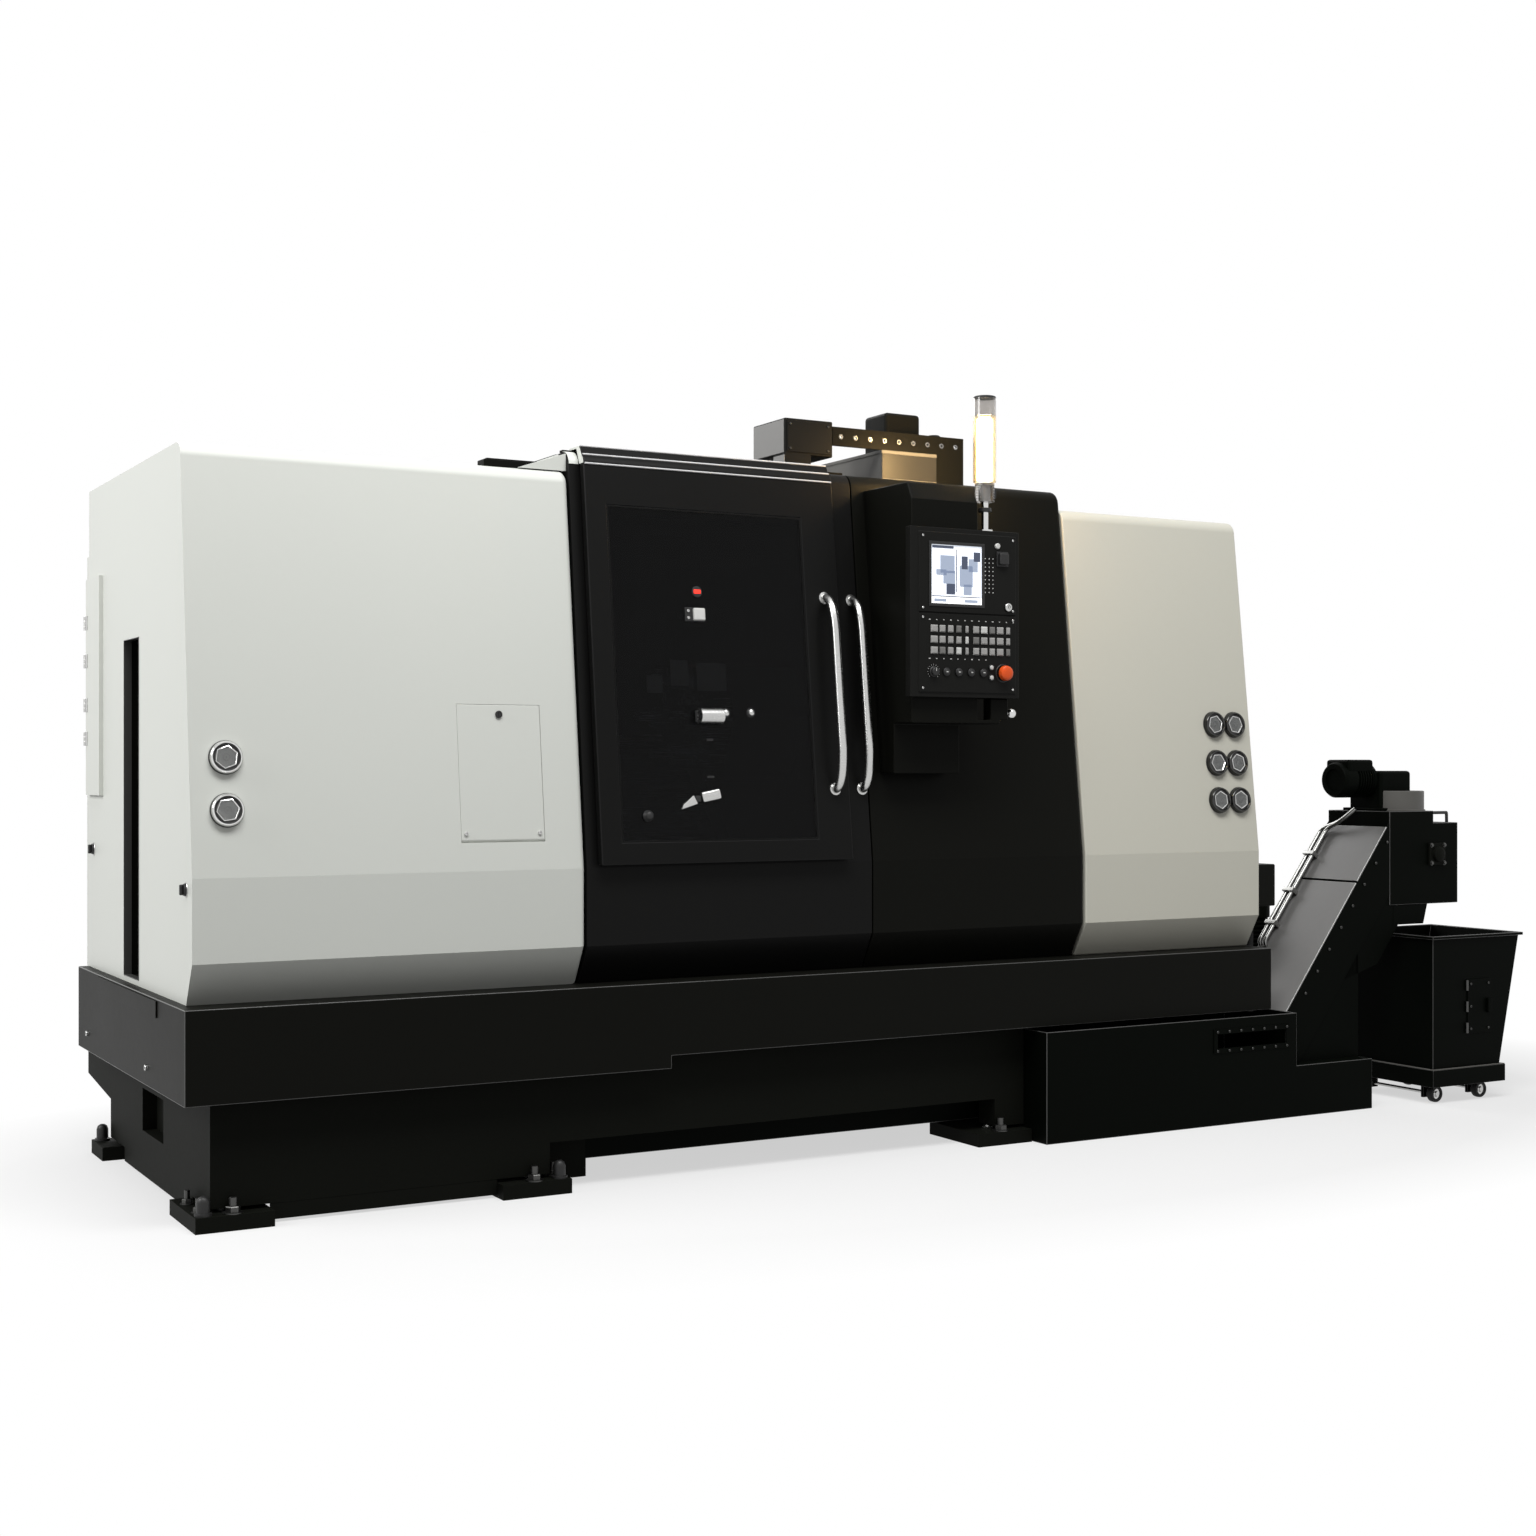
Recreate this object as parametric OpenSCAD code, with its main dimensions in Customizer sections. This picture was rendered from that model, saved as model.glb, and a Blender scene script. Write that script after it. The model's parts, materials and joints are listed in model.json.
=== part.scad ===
// Slant-bed turning lathe with chip conveyor and chip cart.
// Lengths are millimetres. Inside the modules x runs from the pan's left end, y from its front
// and z from the floor; placed() then moves the origin to the middle of the anchor bolts.

/* [Covers] */
// Length of the headstock cover
left_cover_w = 1070; // [1040:5:1120]
// Length of the door frame
frame_w = 925; // [900:5:960]
// Length of the front panel that carries the console
panel_w = 790; // [760:5:830]
// Length of the tailstock cover
right_cover_w = 730; // [690:5:780]
// Gap between neighbouring covers
seam = 4; // [2:0.5:6]
// Depth of the covers from the apron back
cover_d = 1250; // [1230:5:1300]
// Thickness of the double-skinned covers
skin = 20; // [14:1:26]
// Lean of the upper front face in degrees
lean = 6.4; // [5:0.2:8]
// Height of the tucked-in foot of the covers
foot_h = 107; // [90:1:125]
// How far that foot tucks in
foot_in = 60; // [45:1:75]
// Height of the upright apron
apron_h = 214; // [190:2:235]
// Height of the leaning face of the end covers
upper_h = 1107; // [1080:1:1130]
// Rise of the middle above the end covers
middle_rise = 57; // [45:1:70]
// Radius of the roof edge
roof_r = 42; // [30:1:55]
// Length of roof that belongs to the front shells
shell_top = 45; // [30:1:70]

/* [Pan and base] */
// Height of the pan's top ledge
pan_z = 560; // [545:1:580]
// Height of the pan's floor
floor_z = 357; // [345:1:370]
// Sheet of the pan
pan_t = 6; // [4:0.5:8]
// Depth of the deeper skirt at the left
skirt_drop = 36; // [20:1:50]
// Length of the deeper skirt
skirt_l = 1340; // [1250:10:1430]
// How far the pan stands out in front of the apron
pan_front = 48; // [36:1:60]
// How far the pan stands out past the headstock cover
pan_end = 30; // [20:1:40]
// How far the pan stands out past the tailstock cover
pan_right = 8; // [4:1:16]
// Width of the ledge that carries the covers
ledge_w = 150; // [135:1:165]
// Gap from the pan's edge to the base
base_inset = 70; // [60:1:80]
// Length of the left pedestal
pedestal_l = 923; // [880:1:960]
// Height of the arch between the pedestals
arch_z = 135; // [120:1:150]
// Underside of the pedestals
base_z = 50; // [40:1:60]
// Width of the right front leg
leg_w = 110; // [100:1:120]
// Levelling pad length
pad_l = 200; // [180:1:210]
// Levelling pad thickness
pad_t = 40; // [30:1:44]
// Reach of the front and the rear pads past the levelling screw
pad_in = [172, 60]; // [50:1:180]
// Levelling screw distance from the edges of the base
jack_in = 53; // [46:1:60]
// Levelling screw radius
jack_r = 12; // [9:0.5:14]
// Anchor hole radius
anchor_r = 13; // [10:0.5:15]
// Anchor hole distance from the levelling screw
anchor_out = 70; // [64:1:76]

/* [Door] */
// Width of the frame's right stile beside the door
stile_right = 85; // [70:1:100]
// Gap between the frame and the door
door_gap = 8; // [7:0.5:12]
// Thickness of the door
door_t = 26; // [20:1:32]
// Width of the door that stays beside its opening when it is slid back
door_stay = 39; // [30:1:90]
// Width of the frame's left stile in front of the door
stile_w = 31; // [25:1:40]
// Border of the frame around its opening behind the door
frame_lap = 24; // [16:1:34]
// Left and right borders of the window
window_side = [64, 115]; // [50:1:130]
// Window height along the door
window_h = 950; // [880:5:980]
// Window glass thickness
window_t = 12; // [8:1:16]
// Height of the hanging rail
rail_h = 7; // [6:0.5:9]
// Depth of the hanging rail
rail_d = 20; // [16:1:26]
// Running clearance on the rail
rail_gap = 0.3; // [0.2:0.1:0.6]
// Length of rail that still carries the open door
rail_engage = 305; // [260:5:340]
// Distance between the feet of a bow handle
handle_h = 566; // [500:2:600]
// Radius of the handle tube
handle_r = 13; // [10:0.5:16]
// Reach of a bow handle
handle_out = 62; // [50:1:75]
// Straight foot of a bow handle before its bend
handle_foot = 4; // [2:1:16]
// Lower foot of the handles
handle_z = 1095; // [1070:5:1120]

/* [Left end] */
// Hatch width
hatch_w = 240; // [200:2:260]
// Hatch height
hatch_h = 372; // [340:2:390]
// Hatch distance from the cover's right end
hatch_off = 117; // [100:1:140]
// Lower edge of the hatch
hatch_z = 958; // [935:1:975]
// Clearance around the hatch
hatch_gap = 0.6; // [0.4:0.1:0.8]
// Hatch lock radius
lock_r = 10; // [8:0.5:12]
// Gauge bezel radius
gauge_r = 42; // [34:1:44]
// Gauge bezel depth
gauge_t = 16; // [12:1:20]
// Slot width in the left end
slot_w = 186; // [150:2:200]
// Slot distance behind the apron
slot_back = 583; // [560:1:610]
// Slot height in the left end
slot_h = 940; // [880:5:960]
// Slot depth
slot_d = 110; // [90:2:140]
// Rear access panel width
access_w = 190; // [160:2:210]
// Rear access panel height
access_h = 645; // [600:5:680]
// Rear access panel height above the pan
access_up = 516; // [490:2:540]
// Latch radius
latch_r = 15; // [12:0.5:18]

/* [Console] */
// Width of the console duct
duct_w = 235; // [215:1:250]
// Front of the duct ahead of the apron
duct_out = 143; // [130:1:155]
// Underside of the duct
duct_z = 1288; // [1270:1:1300]
// Height of the duct to its chamfer
duct_h = 656; // [640:1:680]
// Console width
console_w = 388; // [370:2:400]
// Console height
console_h = 496; // [480:2:510]
// Console thickness
console_t = 26; // [20:1:32]
// Console underside above the duct's underside
console_up = 76; // [66:1:90]
// Raised face plates of the console
plate_t = 4; // [3:0.5:6]
// Screen width
screen_w = 180; // [160:2:200]
// Screen height
screen_h = 172; // [150:2:180]
// Key size
key_s = 22; // [16:1:24]
// Emergency stop radius
stop_r = 21; // [17:0.5:24]
// Override knob radius
dial_r = 15; // [11:0.5:17]
// Signal lamp radius
lamp_r = 34; // [28:1:38]
// Signal lamp height
lamp_h = 240; // [200:5:280]
// Signal pole radius
pole_r = 11; // [8:0.5:14]
// Signal pole height
pole_h = 92; // [70:2:120]

/* [Spindle and slides] */
// Spindle height above the floor
spindle_z = 1120; // [1105:1:1130]
// Spindle distance behind the apron
spindle_y = 592; // [580:1:600]
// Spindle distance above the bed
spindle_v = 290; // [285:1:300]
// Spindle radius in its bearings
spindle_r = 85; // [75:1:95]
// Running clearance of shafts
run_gap = 0.05; // [0.03:0.01:0.08]
// Chuck radius
chuck_r = 150; // [130:1:160]
// Chuck thickness
chuck_t = 130; // [110:1:145]
// Width of the jaw slots
jaw_w = 34; // [28:1:40]
// Pulley radius
pulley_r = 110; // [100:1:118]
// Pulley width
pulley_w = 70; // [60:1:80]
// Belt thickness
belt_t = 8; // [6:0.5:10]
// Spindle motor radius
motor_r = 125; // [112:1:130]
// Height of the guide rails
way_h = 40; // [34:1:46]
// Width of the bed's upper edge
bed_edge = 40; // [34:1:46]
// Gap between the bed and the back of the covers
bed_back = 71.6; // [60:0.2:80]
// Turret disc radius
disc_r = 168; // [150:1:175]
// Turret disc thickness
disc_t = 90; // [76:1:100]
// Reach of the turning tools beyond the disc
tool_out = 60; // [48:1:62]
// Number of turret stations
stations = 8; // [8:4:12]
// Saddle length
saddle_l = 350; // [320:2:370]
// Saddle thickness
saddle_t = 70; // [60:1:76]
// Tailstock length
tail_l = 260; // [240:2:280]
// Quill radius
quill_r = 45; // [36:1:52]

/* [Roof and cabinet] */
// Roof duct width
roof_box_w = 204; // [180:2:216]
// Roof duct height
roof_box_h = 97; // [80:1:110]
// Roof duct length
roof_box_d = 590; // [520:5:620]
// Height of the perforated bar
bar_h = 58; // [50:1:66]
// Thickness of the perforated bar
bar_t = 8; // [6:0.5:10]
// Radius of the holes in the bar
bar_hole = 12; // [9:0.5:14]
// Roof housing width
housing_w = 169; // [150:1:180]
// Cabinet width
cabinet_w = 2000; // [1900:10:2100]
// Cabinet depth
cabinet_d = 280; // [250:5:320]
// Cabinet height
cabinet_h = 1500; // [1450:10:1540]
// Cabinet sheet
cabinet_t = 12; // [8:1:16]
// Cabinet door width
cab_door_w = 800; // [700:10:900]

/* [Conveyor and cart] */
// Conveyor width
conv_w = 290; // [260:2:300]
// Length of the tank under the middle panel
tank_in = 220; // [190:5:240]
// Width, height and underside of the opening in the tank's front
tank_window = [300, 50, 247]; // [40:1:320]
// Length of the tank past the pan
tank_past = 420; // [390:5:450]
// Height of the low end of the tank
tank_low = 170; // [150:2:190]
// Trunk angle in degrees
trunk_deg = 52.7; // [51:0.1:54]
// Trunk length along its slope
trunk_l = 862; // [840:2:880]
// Trunk depth across its slope
trunk_d = 150; // [135:1:160]
// Conveyor sheet
conv_t = 6; // [4:0.5:8]
// Conveyor head length
head_l = 334; // [310:2:350]
// Conveyor head height
head_h = 325; // [300:2:340]
// Bin rim length
bin_l = 428; // [400:2:450]
// Bin depth front to back
bin_d = 400; // [380:2:420]
// Bin height
bin_h = 459; // [430:2:480]
// Bin sheet
bin_t = 5; // [3:0.5:6]
// Slope of the bin's outer end
bin_slope = 100; // [80:2:120]
// Cart wheel radius
wheel_r = 29; // [24:0.5:32]
// Cart axle radius
axle_r = 6; // [5:0.5:8]

/* [Hidden] */
$fn = 48;
k = tan(lean);
pan_l = pan_end + pan_right + left_cover_w + frame_w + panel_w + right_cover_w + 3 * seam;
apron_y = pan_front;
cover_back = apron_y + cover_d;
pan_d = cover_back + 6;
foot_z = pan_z + foot_h;
lean_z = foot_z + apron_h;
roof_z = lean_z + upper_h;
top_z = roof_z + middle_rise;
left_x = pan_end;
frame_x = left_x + left_cover_w + seam;
panel_x = frame_x + frame_w + seam;
right_x = panel_x + panel_w + seam;
right_end = right_x + right_cover_w;
pan_in = floor_z + pan_t;
shell_back = roof_arc_y(top_z) + shell_top;

// Conveyor and cart
tank_x = right_x - tank_in;
tank_y = -40;
tank_back = tank_y + conv_w + 60;
tank_x1 = pan_l + tank_past;
tank_step = pan_l + 75;
conv_y = tank_y + 55;
trunk_x = pan_l + 38;
trunk_z = 281;
trunk_top = [trunk_x + trunk_l * cos(trunk_deg), trunk_z + trunk_l * sin(trunk_deg)];
head_x = trunk_top[0];
head_top = trunk_top[1] + 40;
head_z = head_top - head_h;
outlet = [head_x + 96, head_x + head_l - 20];
cart_x = head_x + 96;
cart_y = conv_y - 105;
dolly_z = 2 * wheel_r + 2;
dolly_h = 58;
bin_z = dolly_z + dolly_h;
axle_x = [cart_x + 50, cart_x + bin_l - bin_slope - 60];
trough_y = conv_y + 150;
trough_x = frame_x + 50;

// Levelling and anchors
base_l0 = pan_end + base_inset - 20;
base_y0 = base_inset;
base_y1 = pan_d - base_inset;
leg_x = tank_x - 2 - leg_w - seam;
jack_y = [base_y0 + jack_in, base_y1 - jack_in];
jack_x = [base_l0 + jack_in, base_l0 + pedestal_l - jack_in, leg_x + leg_w - pad_l / 2];
tail_jack = [[right_end - 170, jack_y[1]], [right_end - 170, tank_back + pad_l]];
anchor_y = [jack_y[0] - anchor_out, jack_y[1] + anchor_out];
origin_x = (jack_x[0] + jack_x[2]) / 2;
origin_y = (anchor_y[0] + anchor_y[1]) / 2;

// Door
door_w = frame_w - stile_w - stile_right;
door_travel = door_w - door_stay;
door_x = frame_x + stile_w;
door_end = door_x + door_w;
door_z = lean_z + 8;
door_top = top_z + rail_h + rail_gap;
door_lip = 8;
rail_y = roof_arc_y(top_z);
window_x = door_x + window_side[0];
window_w = door_w - window_side[0] - window_side[1];
window_z = door_z + 62;
handle_x = door_end - 49;
grab_x = (door_end + frame_x + frame_w) / 2 + 22;

// Bed frame of reference: u runs up the slope, v out of it
axis_y = apron_y + spindle_y;
bed_y = axis_y - 90;
bed_deg = 45;
axis_u = spindle_v + 90 / cos(bed_deg);
bed_z = spindle_z - (axis_u + spindle_v) * cos(bed_deg);
bed_rise = cover_back - bed_back - bed_edge - bed_y;
bed_x0 = left_x + 310;
bed_x1 = right_end - 230;
stock_x0 = bed_x0 + 130;
stock_x1 = frame_x - 10;
stock_w = 400;
pulley_x = stock_x0 - pulley_w - 12;
nose_x = frame_x + 75;
chuck_x1 = nose_x + chuck_t;
jaw_t = 60;
key_d = 16;
slide_gap = 0.3;
motor_y = apron_y + skin + motor_r + 80;
motor_z = pan_in + motor_r + 210;
disc_x = chuck_x1 + 500;
disc_u = axis_u + disc_r + tool_out + 60;
saddle_x = disc_x + disc_t + 8;
tail_x = saddle_x + saddle_l + 170;
tail_u = 2 * quill_r + 250;
station_deg = 360 / stations;
way_w = 60;
way_u = [axis_u - stock_w / 2 + 40, axis_u + stock_w / 2 - 60, axis_u + stock_w / 2 + 200];

// Console
duct_x = panel_x + 42;
duct_y = apron_y - duct_out;
duct_top = duct_z + duct_h;
chamfer = [27, 51];
box_low = duct_z - 148;
console_x = duct_x - 22;
console_z = duct_z + console_up;
console_y = duct_y - console_t;
console_top = console_z + console_h;
plate_y = console_y - plate_t;
screen_x = console_x + 70;
screen_z = console_top - 50 - screen_h;
keys_x = console_x + 72;
keys_z = console_z + 125;
key_pitch = [29, 32];
stop_x = console_x + console_w - 62;
stop_z = console_z + 74;
dial_x = console_x + 78;
lamp_x = console_x + console_w - 88;
lamp_y = duct_y + 26;
pole_z = console_top + pole_h;
collar_h = 58;
jog_x = console_x + console_w - 20;
jog_z = console_z - 44;
stop_travel = 6;
stop_seat = 8;

// Roof
roof_box_x = duct_x + 126;
roof_box_y = shell_back + 2;
box_top = top_z + roof_box_h;
housing_x = roof_box_x - 178 - housing_w;

// Cabinet
cab_x = base_l0;
cab_y = pan_d;
cab_z = floor_z - skirt_drop;
cab_door_x = cab_x + (cabinet_w - cab_door_w) / 2;
cab_border = 60;

// Hatch lock, and gauges: two one above the other at the left, six in two columns at the right
lock_up = 27;
hatch_t = skin * 0.8;
gauge_places = concat(
    [for (z = [lean_z + 169, lean_z + 302]) [left_x + 92, z]],
    [for (x = [right_end - 160, right_end - 73], z = [lean_z + 169, lean_z + 292, lean_z + 419]) [x, z]]
);

function face_y(z) = apron_y + (z - lean_z) * k;
function roof_arc_y(roof, out = 0) = face_y(roof - roof_r) - out + roof_r / cos(lean);

// Front outline from the foot to the end of the roof's round edge, moved forward by out
function front_line(roof, out = 0, low = pan_z) = concat(
    [[apron_y + foot_in - out, low], [apron_y - out, foot_z], [apron_y - out, lean_z]],
    round_edge(roof, out, roof_r)
);
function round_edge(roof, out, r) = [
    for (i = [0:6])
        let (t = 180 - lean - i * (90 - lean) / 6)
        [face_y(roof - r) - out + r / cos(lean) + r * cos(t), roof - r + r * sin(t)]
];
function backwards(list) = [for (i = [len(list) - 1:-1:0]) list[i]];

module placed() {
    translate([-origin_x, -origin_y, 0]) children();
}

// A y-z outline drawn out along x
module along_x(x0, length) {
    translate([x0, 0, 0]) rotate([90, 0, 90]) linear_extrude(length) children();
}

// An x-z outline drawn out along y
module along_y(y0, length) {
    translate([0, y0 + length, 0]) rotate([90, 0, 0]) linear_extrude(length) children();
}

module box(low, high) {
    translate(low) cube(high - low);
}

module rod_x(x0, length, r) {
    translate([x0, 0, 0]) rotate([0, 90, 0]) cylinder(h = length, r = r);
}

// Local z points out of the leaning front face at height z
module on_face(x, z, out = 0) {
    translate([x, face_y(z) - out, z]) rotate([90 - lean, 0, 0]) children();
}

// Local y runs up the bed's slope and local z out of it
module on_bed() {
    translate([0, bed_y, bed_z]) rotate([bed_deg, 0, 0]) children();
}

module on_axis() {
    translate([0, axis_y, spindle_z]) children();
}

// Front wall and round roof edge of the middle section
module front_shell(x0, length) {
    along_x(x0, length) polygon(concat(
        front_line(top_z), [[shell_back, top_z], [shell_back, top_z - skin]],
        backwards(front_line(top_z - skin, -skin))
    ));
}

// Closed cover with one end wall, open below and at its other end
module end_cover(x0, length, wall_left) {
    difference() {
        along_x(x0, length) polygon(concat(front_line(roof_z), [[cover_back, roof_z], [cover_back, pan_z]]));
        along_x(wall_left ? x0 + skin : x0 - 1, length - skin + 1) polygon(concat(
            [[apron_y + foot_in + skin, pan_z - 1]], front_line(roof_z - skin, -skin),
            [[cover_back - skin, roof_z - skin], [cover_back - skin, pan_z - 1]]
        ));
    }
}

// Tube handle standing on local z = 0, its feet on local y
module bow_handle() {
    bend = handle_out - handle_foot;
    for (end = [0, 1]) {
        translate([0, end * handle_h, 0]) {
            cylinder(h = handle_foot, r = handle_r);
            translate([0, (1 - 2 * end) * bend, handle_foot])
                rotate([90, 0, (2 * end - 1) * 90])
                    rotate_extrude(angle = 90) translate([bend, 0]) circle(handle_r);
        }
    }
    translate([0, bend, handle_out]) rotate([-90, 0, 0])
        cylinder(h = handle_h - 2 * bend, r = handle_r);
}

// The wings behind the base carry the rear cabinet
module base_casting() {
    tank_clear = tank_back + seam * 4;
    wing_t = 30;
    wing_z = [162, 200];
    wing_y = [base_y1 - 20, cab_y + cabinet_d - 20];
    hollow = [75, 173];
    color("#2a2928") placed() difference() {
        union() {
            box([base_l0, base_y0, base_z], [base_l0 + pedestal_l, base_y1, floor_z]);
            box([base_l0 + pedestal_l, base_y0, arch_z], [leg_x + leg_w, base_y1, floor_z]);
            box([leg_x, base_y0, base_z], [leg_x + leg_w, trough_y - 10, floor_z]);
            box([leg_x, tank_clear, base_z], [right_end - 90, base_y1, floor_z]);
            for (x = [cab_x, cab_x + cabinet_w - wing_t]) along_x(x, wing_t) polygon([
                [wing_y[0], wing_z[0]], [wing_y[1], wing_z[1]], [wing_y[1], cab_z], [wing_y[0], cab_z]
            ]);
        }
        box([trough_x - 10, trough_y, base_z - 1], [leg_x + leg_w + 1, tank_clear, floor_z + 1]);
        box([base_l0 - 1, axis_y - hollow[0], base_z + 85],
            [base_l0 + 40, axis_y + hollow[1], base_z + 205]);
    }
}

// Child 0 stands at the front places and child 1, turned round, at the rear and tail ones
module pad_places() {
    for (x = jack_x) {
        translate([x, jack_y[0], 0]) children(0);
        translate([x, jack_y[1], 0]) rotate(180) children(1);
    }
    for (p = tail_jack) translate([p[0], p[1], 0]) rotate(180) children(1);
}

module levelling_pad(reach) {
    difference() {
        translate([-pad_l / 2, -anchor_out - anchor_r * 2, 0])
            cube([pad_l, anchor_out + anchor_r * 2 + reach, pad_t]);
        translate([0, -anchor_out, -1]) cylinder(h = pad_t + 2, r = anchor_r);
    }
}

module levelling_pads() {
    color("#343331") placed() pad_places() {
        levelling_pad(pad_in[0]);
        levelling_pad(pad_in[1]);
    }
}

module levelling_screw() {
    nut_h = 5;
    translate([0, 0, pad_t]) cylinder(h = base_z - pad_t, r = jack_r);
    translate([0, 0, pad_t]) cylinder(h = nut_h, r = jack_r * 1.6, $fn = 6);
}

module levelling_screws() {
    color("silver") placed() pad_places() {
        levelling_screw();
        levelling_screw();
    }
}

module drip_pan() {
    low = floor_z - skirt_drop;
    side = ledge_w * 0.5;
    color("#232220") placed() difference() {
        box([0, 0, low], [pan_l, pan_d, pan_z]);
        box([pan_t, pan_t, pan_in], [pan_l - pan_t, pan_d - pan_t, pan_z - pan_t]);
        box([pan_t, pan_t, low - 1], [skirt_l + 1, pan_d - pan_t, floor_z]);
        box([skirt_l, -1, low - 1], [pan_l + 1, pan_d + 1, floor_z]);
        box([side, ledge_w, pan_z - pan_t - 1], [pan_l - side, pan_d - side, pan_z + 1]);
        box([trough_x + 20, trough_y + 20, floor_z - 1],
            [frame_x + frame_w - 60, tank_back - 20, pan_in + 1]);
    }
}

module headstock_cover() {
    proud = 12;
    access_y = cover_back - proud - access_w;
    access_z = pan_z + access_up;
    color("#cfd1cb") placed() difference() {
        union() {
            end_cover(left_x, left_cover_w, true);
            box([left_x - proud, access_y, access_z], [left_x, access_y + access_w, access_z + access_h]);
        }
        hatch_place(0) translate([-hatch_gap, -hatch_gap, -skin * 2])
            cube([hatch_w + 2 * hatch_gap, hatch_h + 2 * hatch_gap, skin * 3]);
        slot_place() translate([-1, 0, 0]) cube([skin + 2, slot_w, slot_h]);
    }
}

module slot_place() {
    translate([left_x, apron_y + slot_back, pan_z + 15]) children();
}

module slot_channel() {
    lip = 12;
    color("#151515") placed() slot_place() translate([skin, -lip, -14]) difference() {
        cube([slot_d, slot_w + 2 * lip, slot_h + 14 + lip]);
        translate([-1, lip, 14]) cube([slot_d - lip + 1, slot_w, slot_h]);
    }
}

// Outline of the bed and headstock grown by gap, as the enclosure's walls have to clear it
module bed_outline(gap) {
    back = bed_y + bed_rise + bed_edge + 20 + gap;
    top = bed_z + bed_rise + gap * 1.5;
    polygon([
        [bed_y - gap, pan_in - 1], [bed_y - gap, bed_z], [bed_y - gap * 0.7, bed_z + gap],
        [bed_y + bed_rise, top], [back, top], [back, pan_in - 1]
    ]);
}

module enclosure() {
    wall = 12;
    inner_back = cover_back - skin;
    module side_wall(x0) {
        difference() {
            along_x(x0, wall) polygon(concat(
                front_line(top_z - skin, -skin - 1),
                [[inner_back, top_z - skin], [inner_back, pan_z]]
            ));
            along_x(x0 - 1, wall + 2) bed_outline(way_h + 30);
            on_axis() rod_x(x0 - 1, wall + 2, chuck_r + 20);
        }
    }
    color("#252423") placed() {
        side_wall(frame_x);
        side_wall(panel_x + panel_w - wall);
        box([frame_x, shell_back, top_z - skin], [panel_x + panel_w, cover_back, top_z]);
        box([frame_x, inner_back, pan_z], [panel_x + panel_w, cover_back, top_z - skin]);
    }
}

module door_frame() {
    color("#1c1b1a") placed() difference() {
        front_shell(frame_x, frame_w);
        box([door_x + frame_lap, -100, door_z + frame_lap],
            [door_end - frame_lap, shell_back, top_z - roof_r - frame_lap]);
    }
}

module door_rail() {
    post = [115, 56];
    rail_x = door_x - door_travel + door_w - rail_engage;
    color("#161616") placed() {
        box([rail_x, rail_y, top_z], [frame_x + frame_w, rail_y + rail_d, top_z + rail_h]);
        box([rail_x, rail_y, roof_z], [rail_x + post[0], rail_y + post[1], top_z]);
    }
}

module front_panel() {
    color("#1c1b1a") placed() front_shell(panel_x, panel_w);
}

// The small guard on the end wall covers the sensor of the conveyor
module tailstock_cover() {
    guard = [83, 190, 140];
    color("#c8c5b8") placed() {
        end_cover(right_x, right_cover_w, false);
        translate([right_end, apron_y + 12, foot_z + 27]) cube(guard);
    }
}

module rear_cabinet() {
    color("#c8c8c2") placed() difference() {
        box([cab_x, cab_y, cab_z], [cab_x + cabinet_w, cab_y + cabinet_d, cab_z + cabinet_h]);
        box([cab_x + cabinet_t, cab_y + cabinet_t, cab_z + cabinet_t],
            [cab_x + cabinet_w - cabinet_t, cab_y + cabinet_d - cabinet_t, cab_z + cabinet_h - cabinet_t]);
        translate([cab_door_x + cab_border / 2, cab_y + cabinet_t, cab_z + cab_border])
            cube([cab_door_w - cab_border, cabinet_d, cabinet_h - 2 * cab_border]);
    }
}

module cabinet_door() {
    door_thick = 25;
    grip = [30, 18, 160];
    barrel = [9, 110];
    color("#d0d0ca") placed() {
        box([cab_door_x, cab_y + cabinet_d, cab_z + cab_border / 2],
            [cab_door_x + cab_door_w, cab_y + cabinet_d + door_thick, cab_z + cabinet_h - cab_border / 2]);
        translate([cab_door_x + 40, cab_y + cabinet_d + door_thick, cab_z + cabinet_h / 2]) cube(grip);
        for (z = [0.15, 0.85] * cabinet_h)
            translate([cab_door_x + cab_door_w, cab_y + cabinet_d + door_thick, cab_z + z - barrel[1] / 2])
                cylinder(h = barrel[1], r = barrel[0]);
    }
}

module roof_box() {
    color("#6c6963") placed()
        box([roof_box_x, roof_box_y, top_z], [roof_box_x + roof_box_w, roof_box_y + roof_box_d, box_top]);
}

module roof_bracket() {
    leg = 103;
    bar_x = housing_x + housing_w;
    bar_end = roof_box_x + roof_box_w + leg;
    holes = 9;
    pitch = (bar_end - bar_x - 60) / (holes - 1);
    color("#1d1c1b") placed() difference() {
        union() {
            box([bar_x, roof_box_y, box_top], [bar_end, roof_box_y + bar_t, box_top + bar_h]);
            box([bar_end - leg, roof_box_y, top_z], [bar_end, roof_box_y + bar_t, box_top]);
        }
        for (i = [0:holes - 1])
            translate([bar_x + 30 + i * pitch, roof_box_y, box_top + bar_h / 2])
                rotate([-90, 0, 0]) translate([0, 0, -1]) cylinder(h = bar_t + 2, r = bar_hole);
    }
}

module roof_housing() {
    body = [housing_w, 195, bar_h + 52];
    post = [housing_w * 0.55, 66];
    low = box_top + bar_h - body[2] + 14;
    color("#55524d") placed() {
        translate([housing_x, roof_box_y, low]) cube(body);
        translate([housing_x, roof_box_y, top_z]) cube([post[0], post[1], low - top_z]);
    }
}

module roof_motor() {
    size = [roof_box_w * 0.64, 130, 138];
    color("#1a1a1a") placed()
        translate([roof_box_x + roof_box_w - size[0], roof_box_y + 90, box_top]) cube(size);
}

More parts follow.
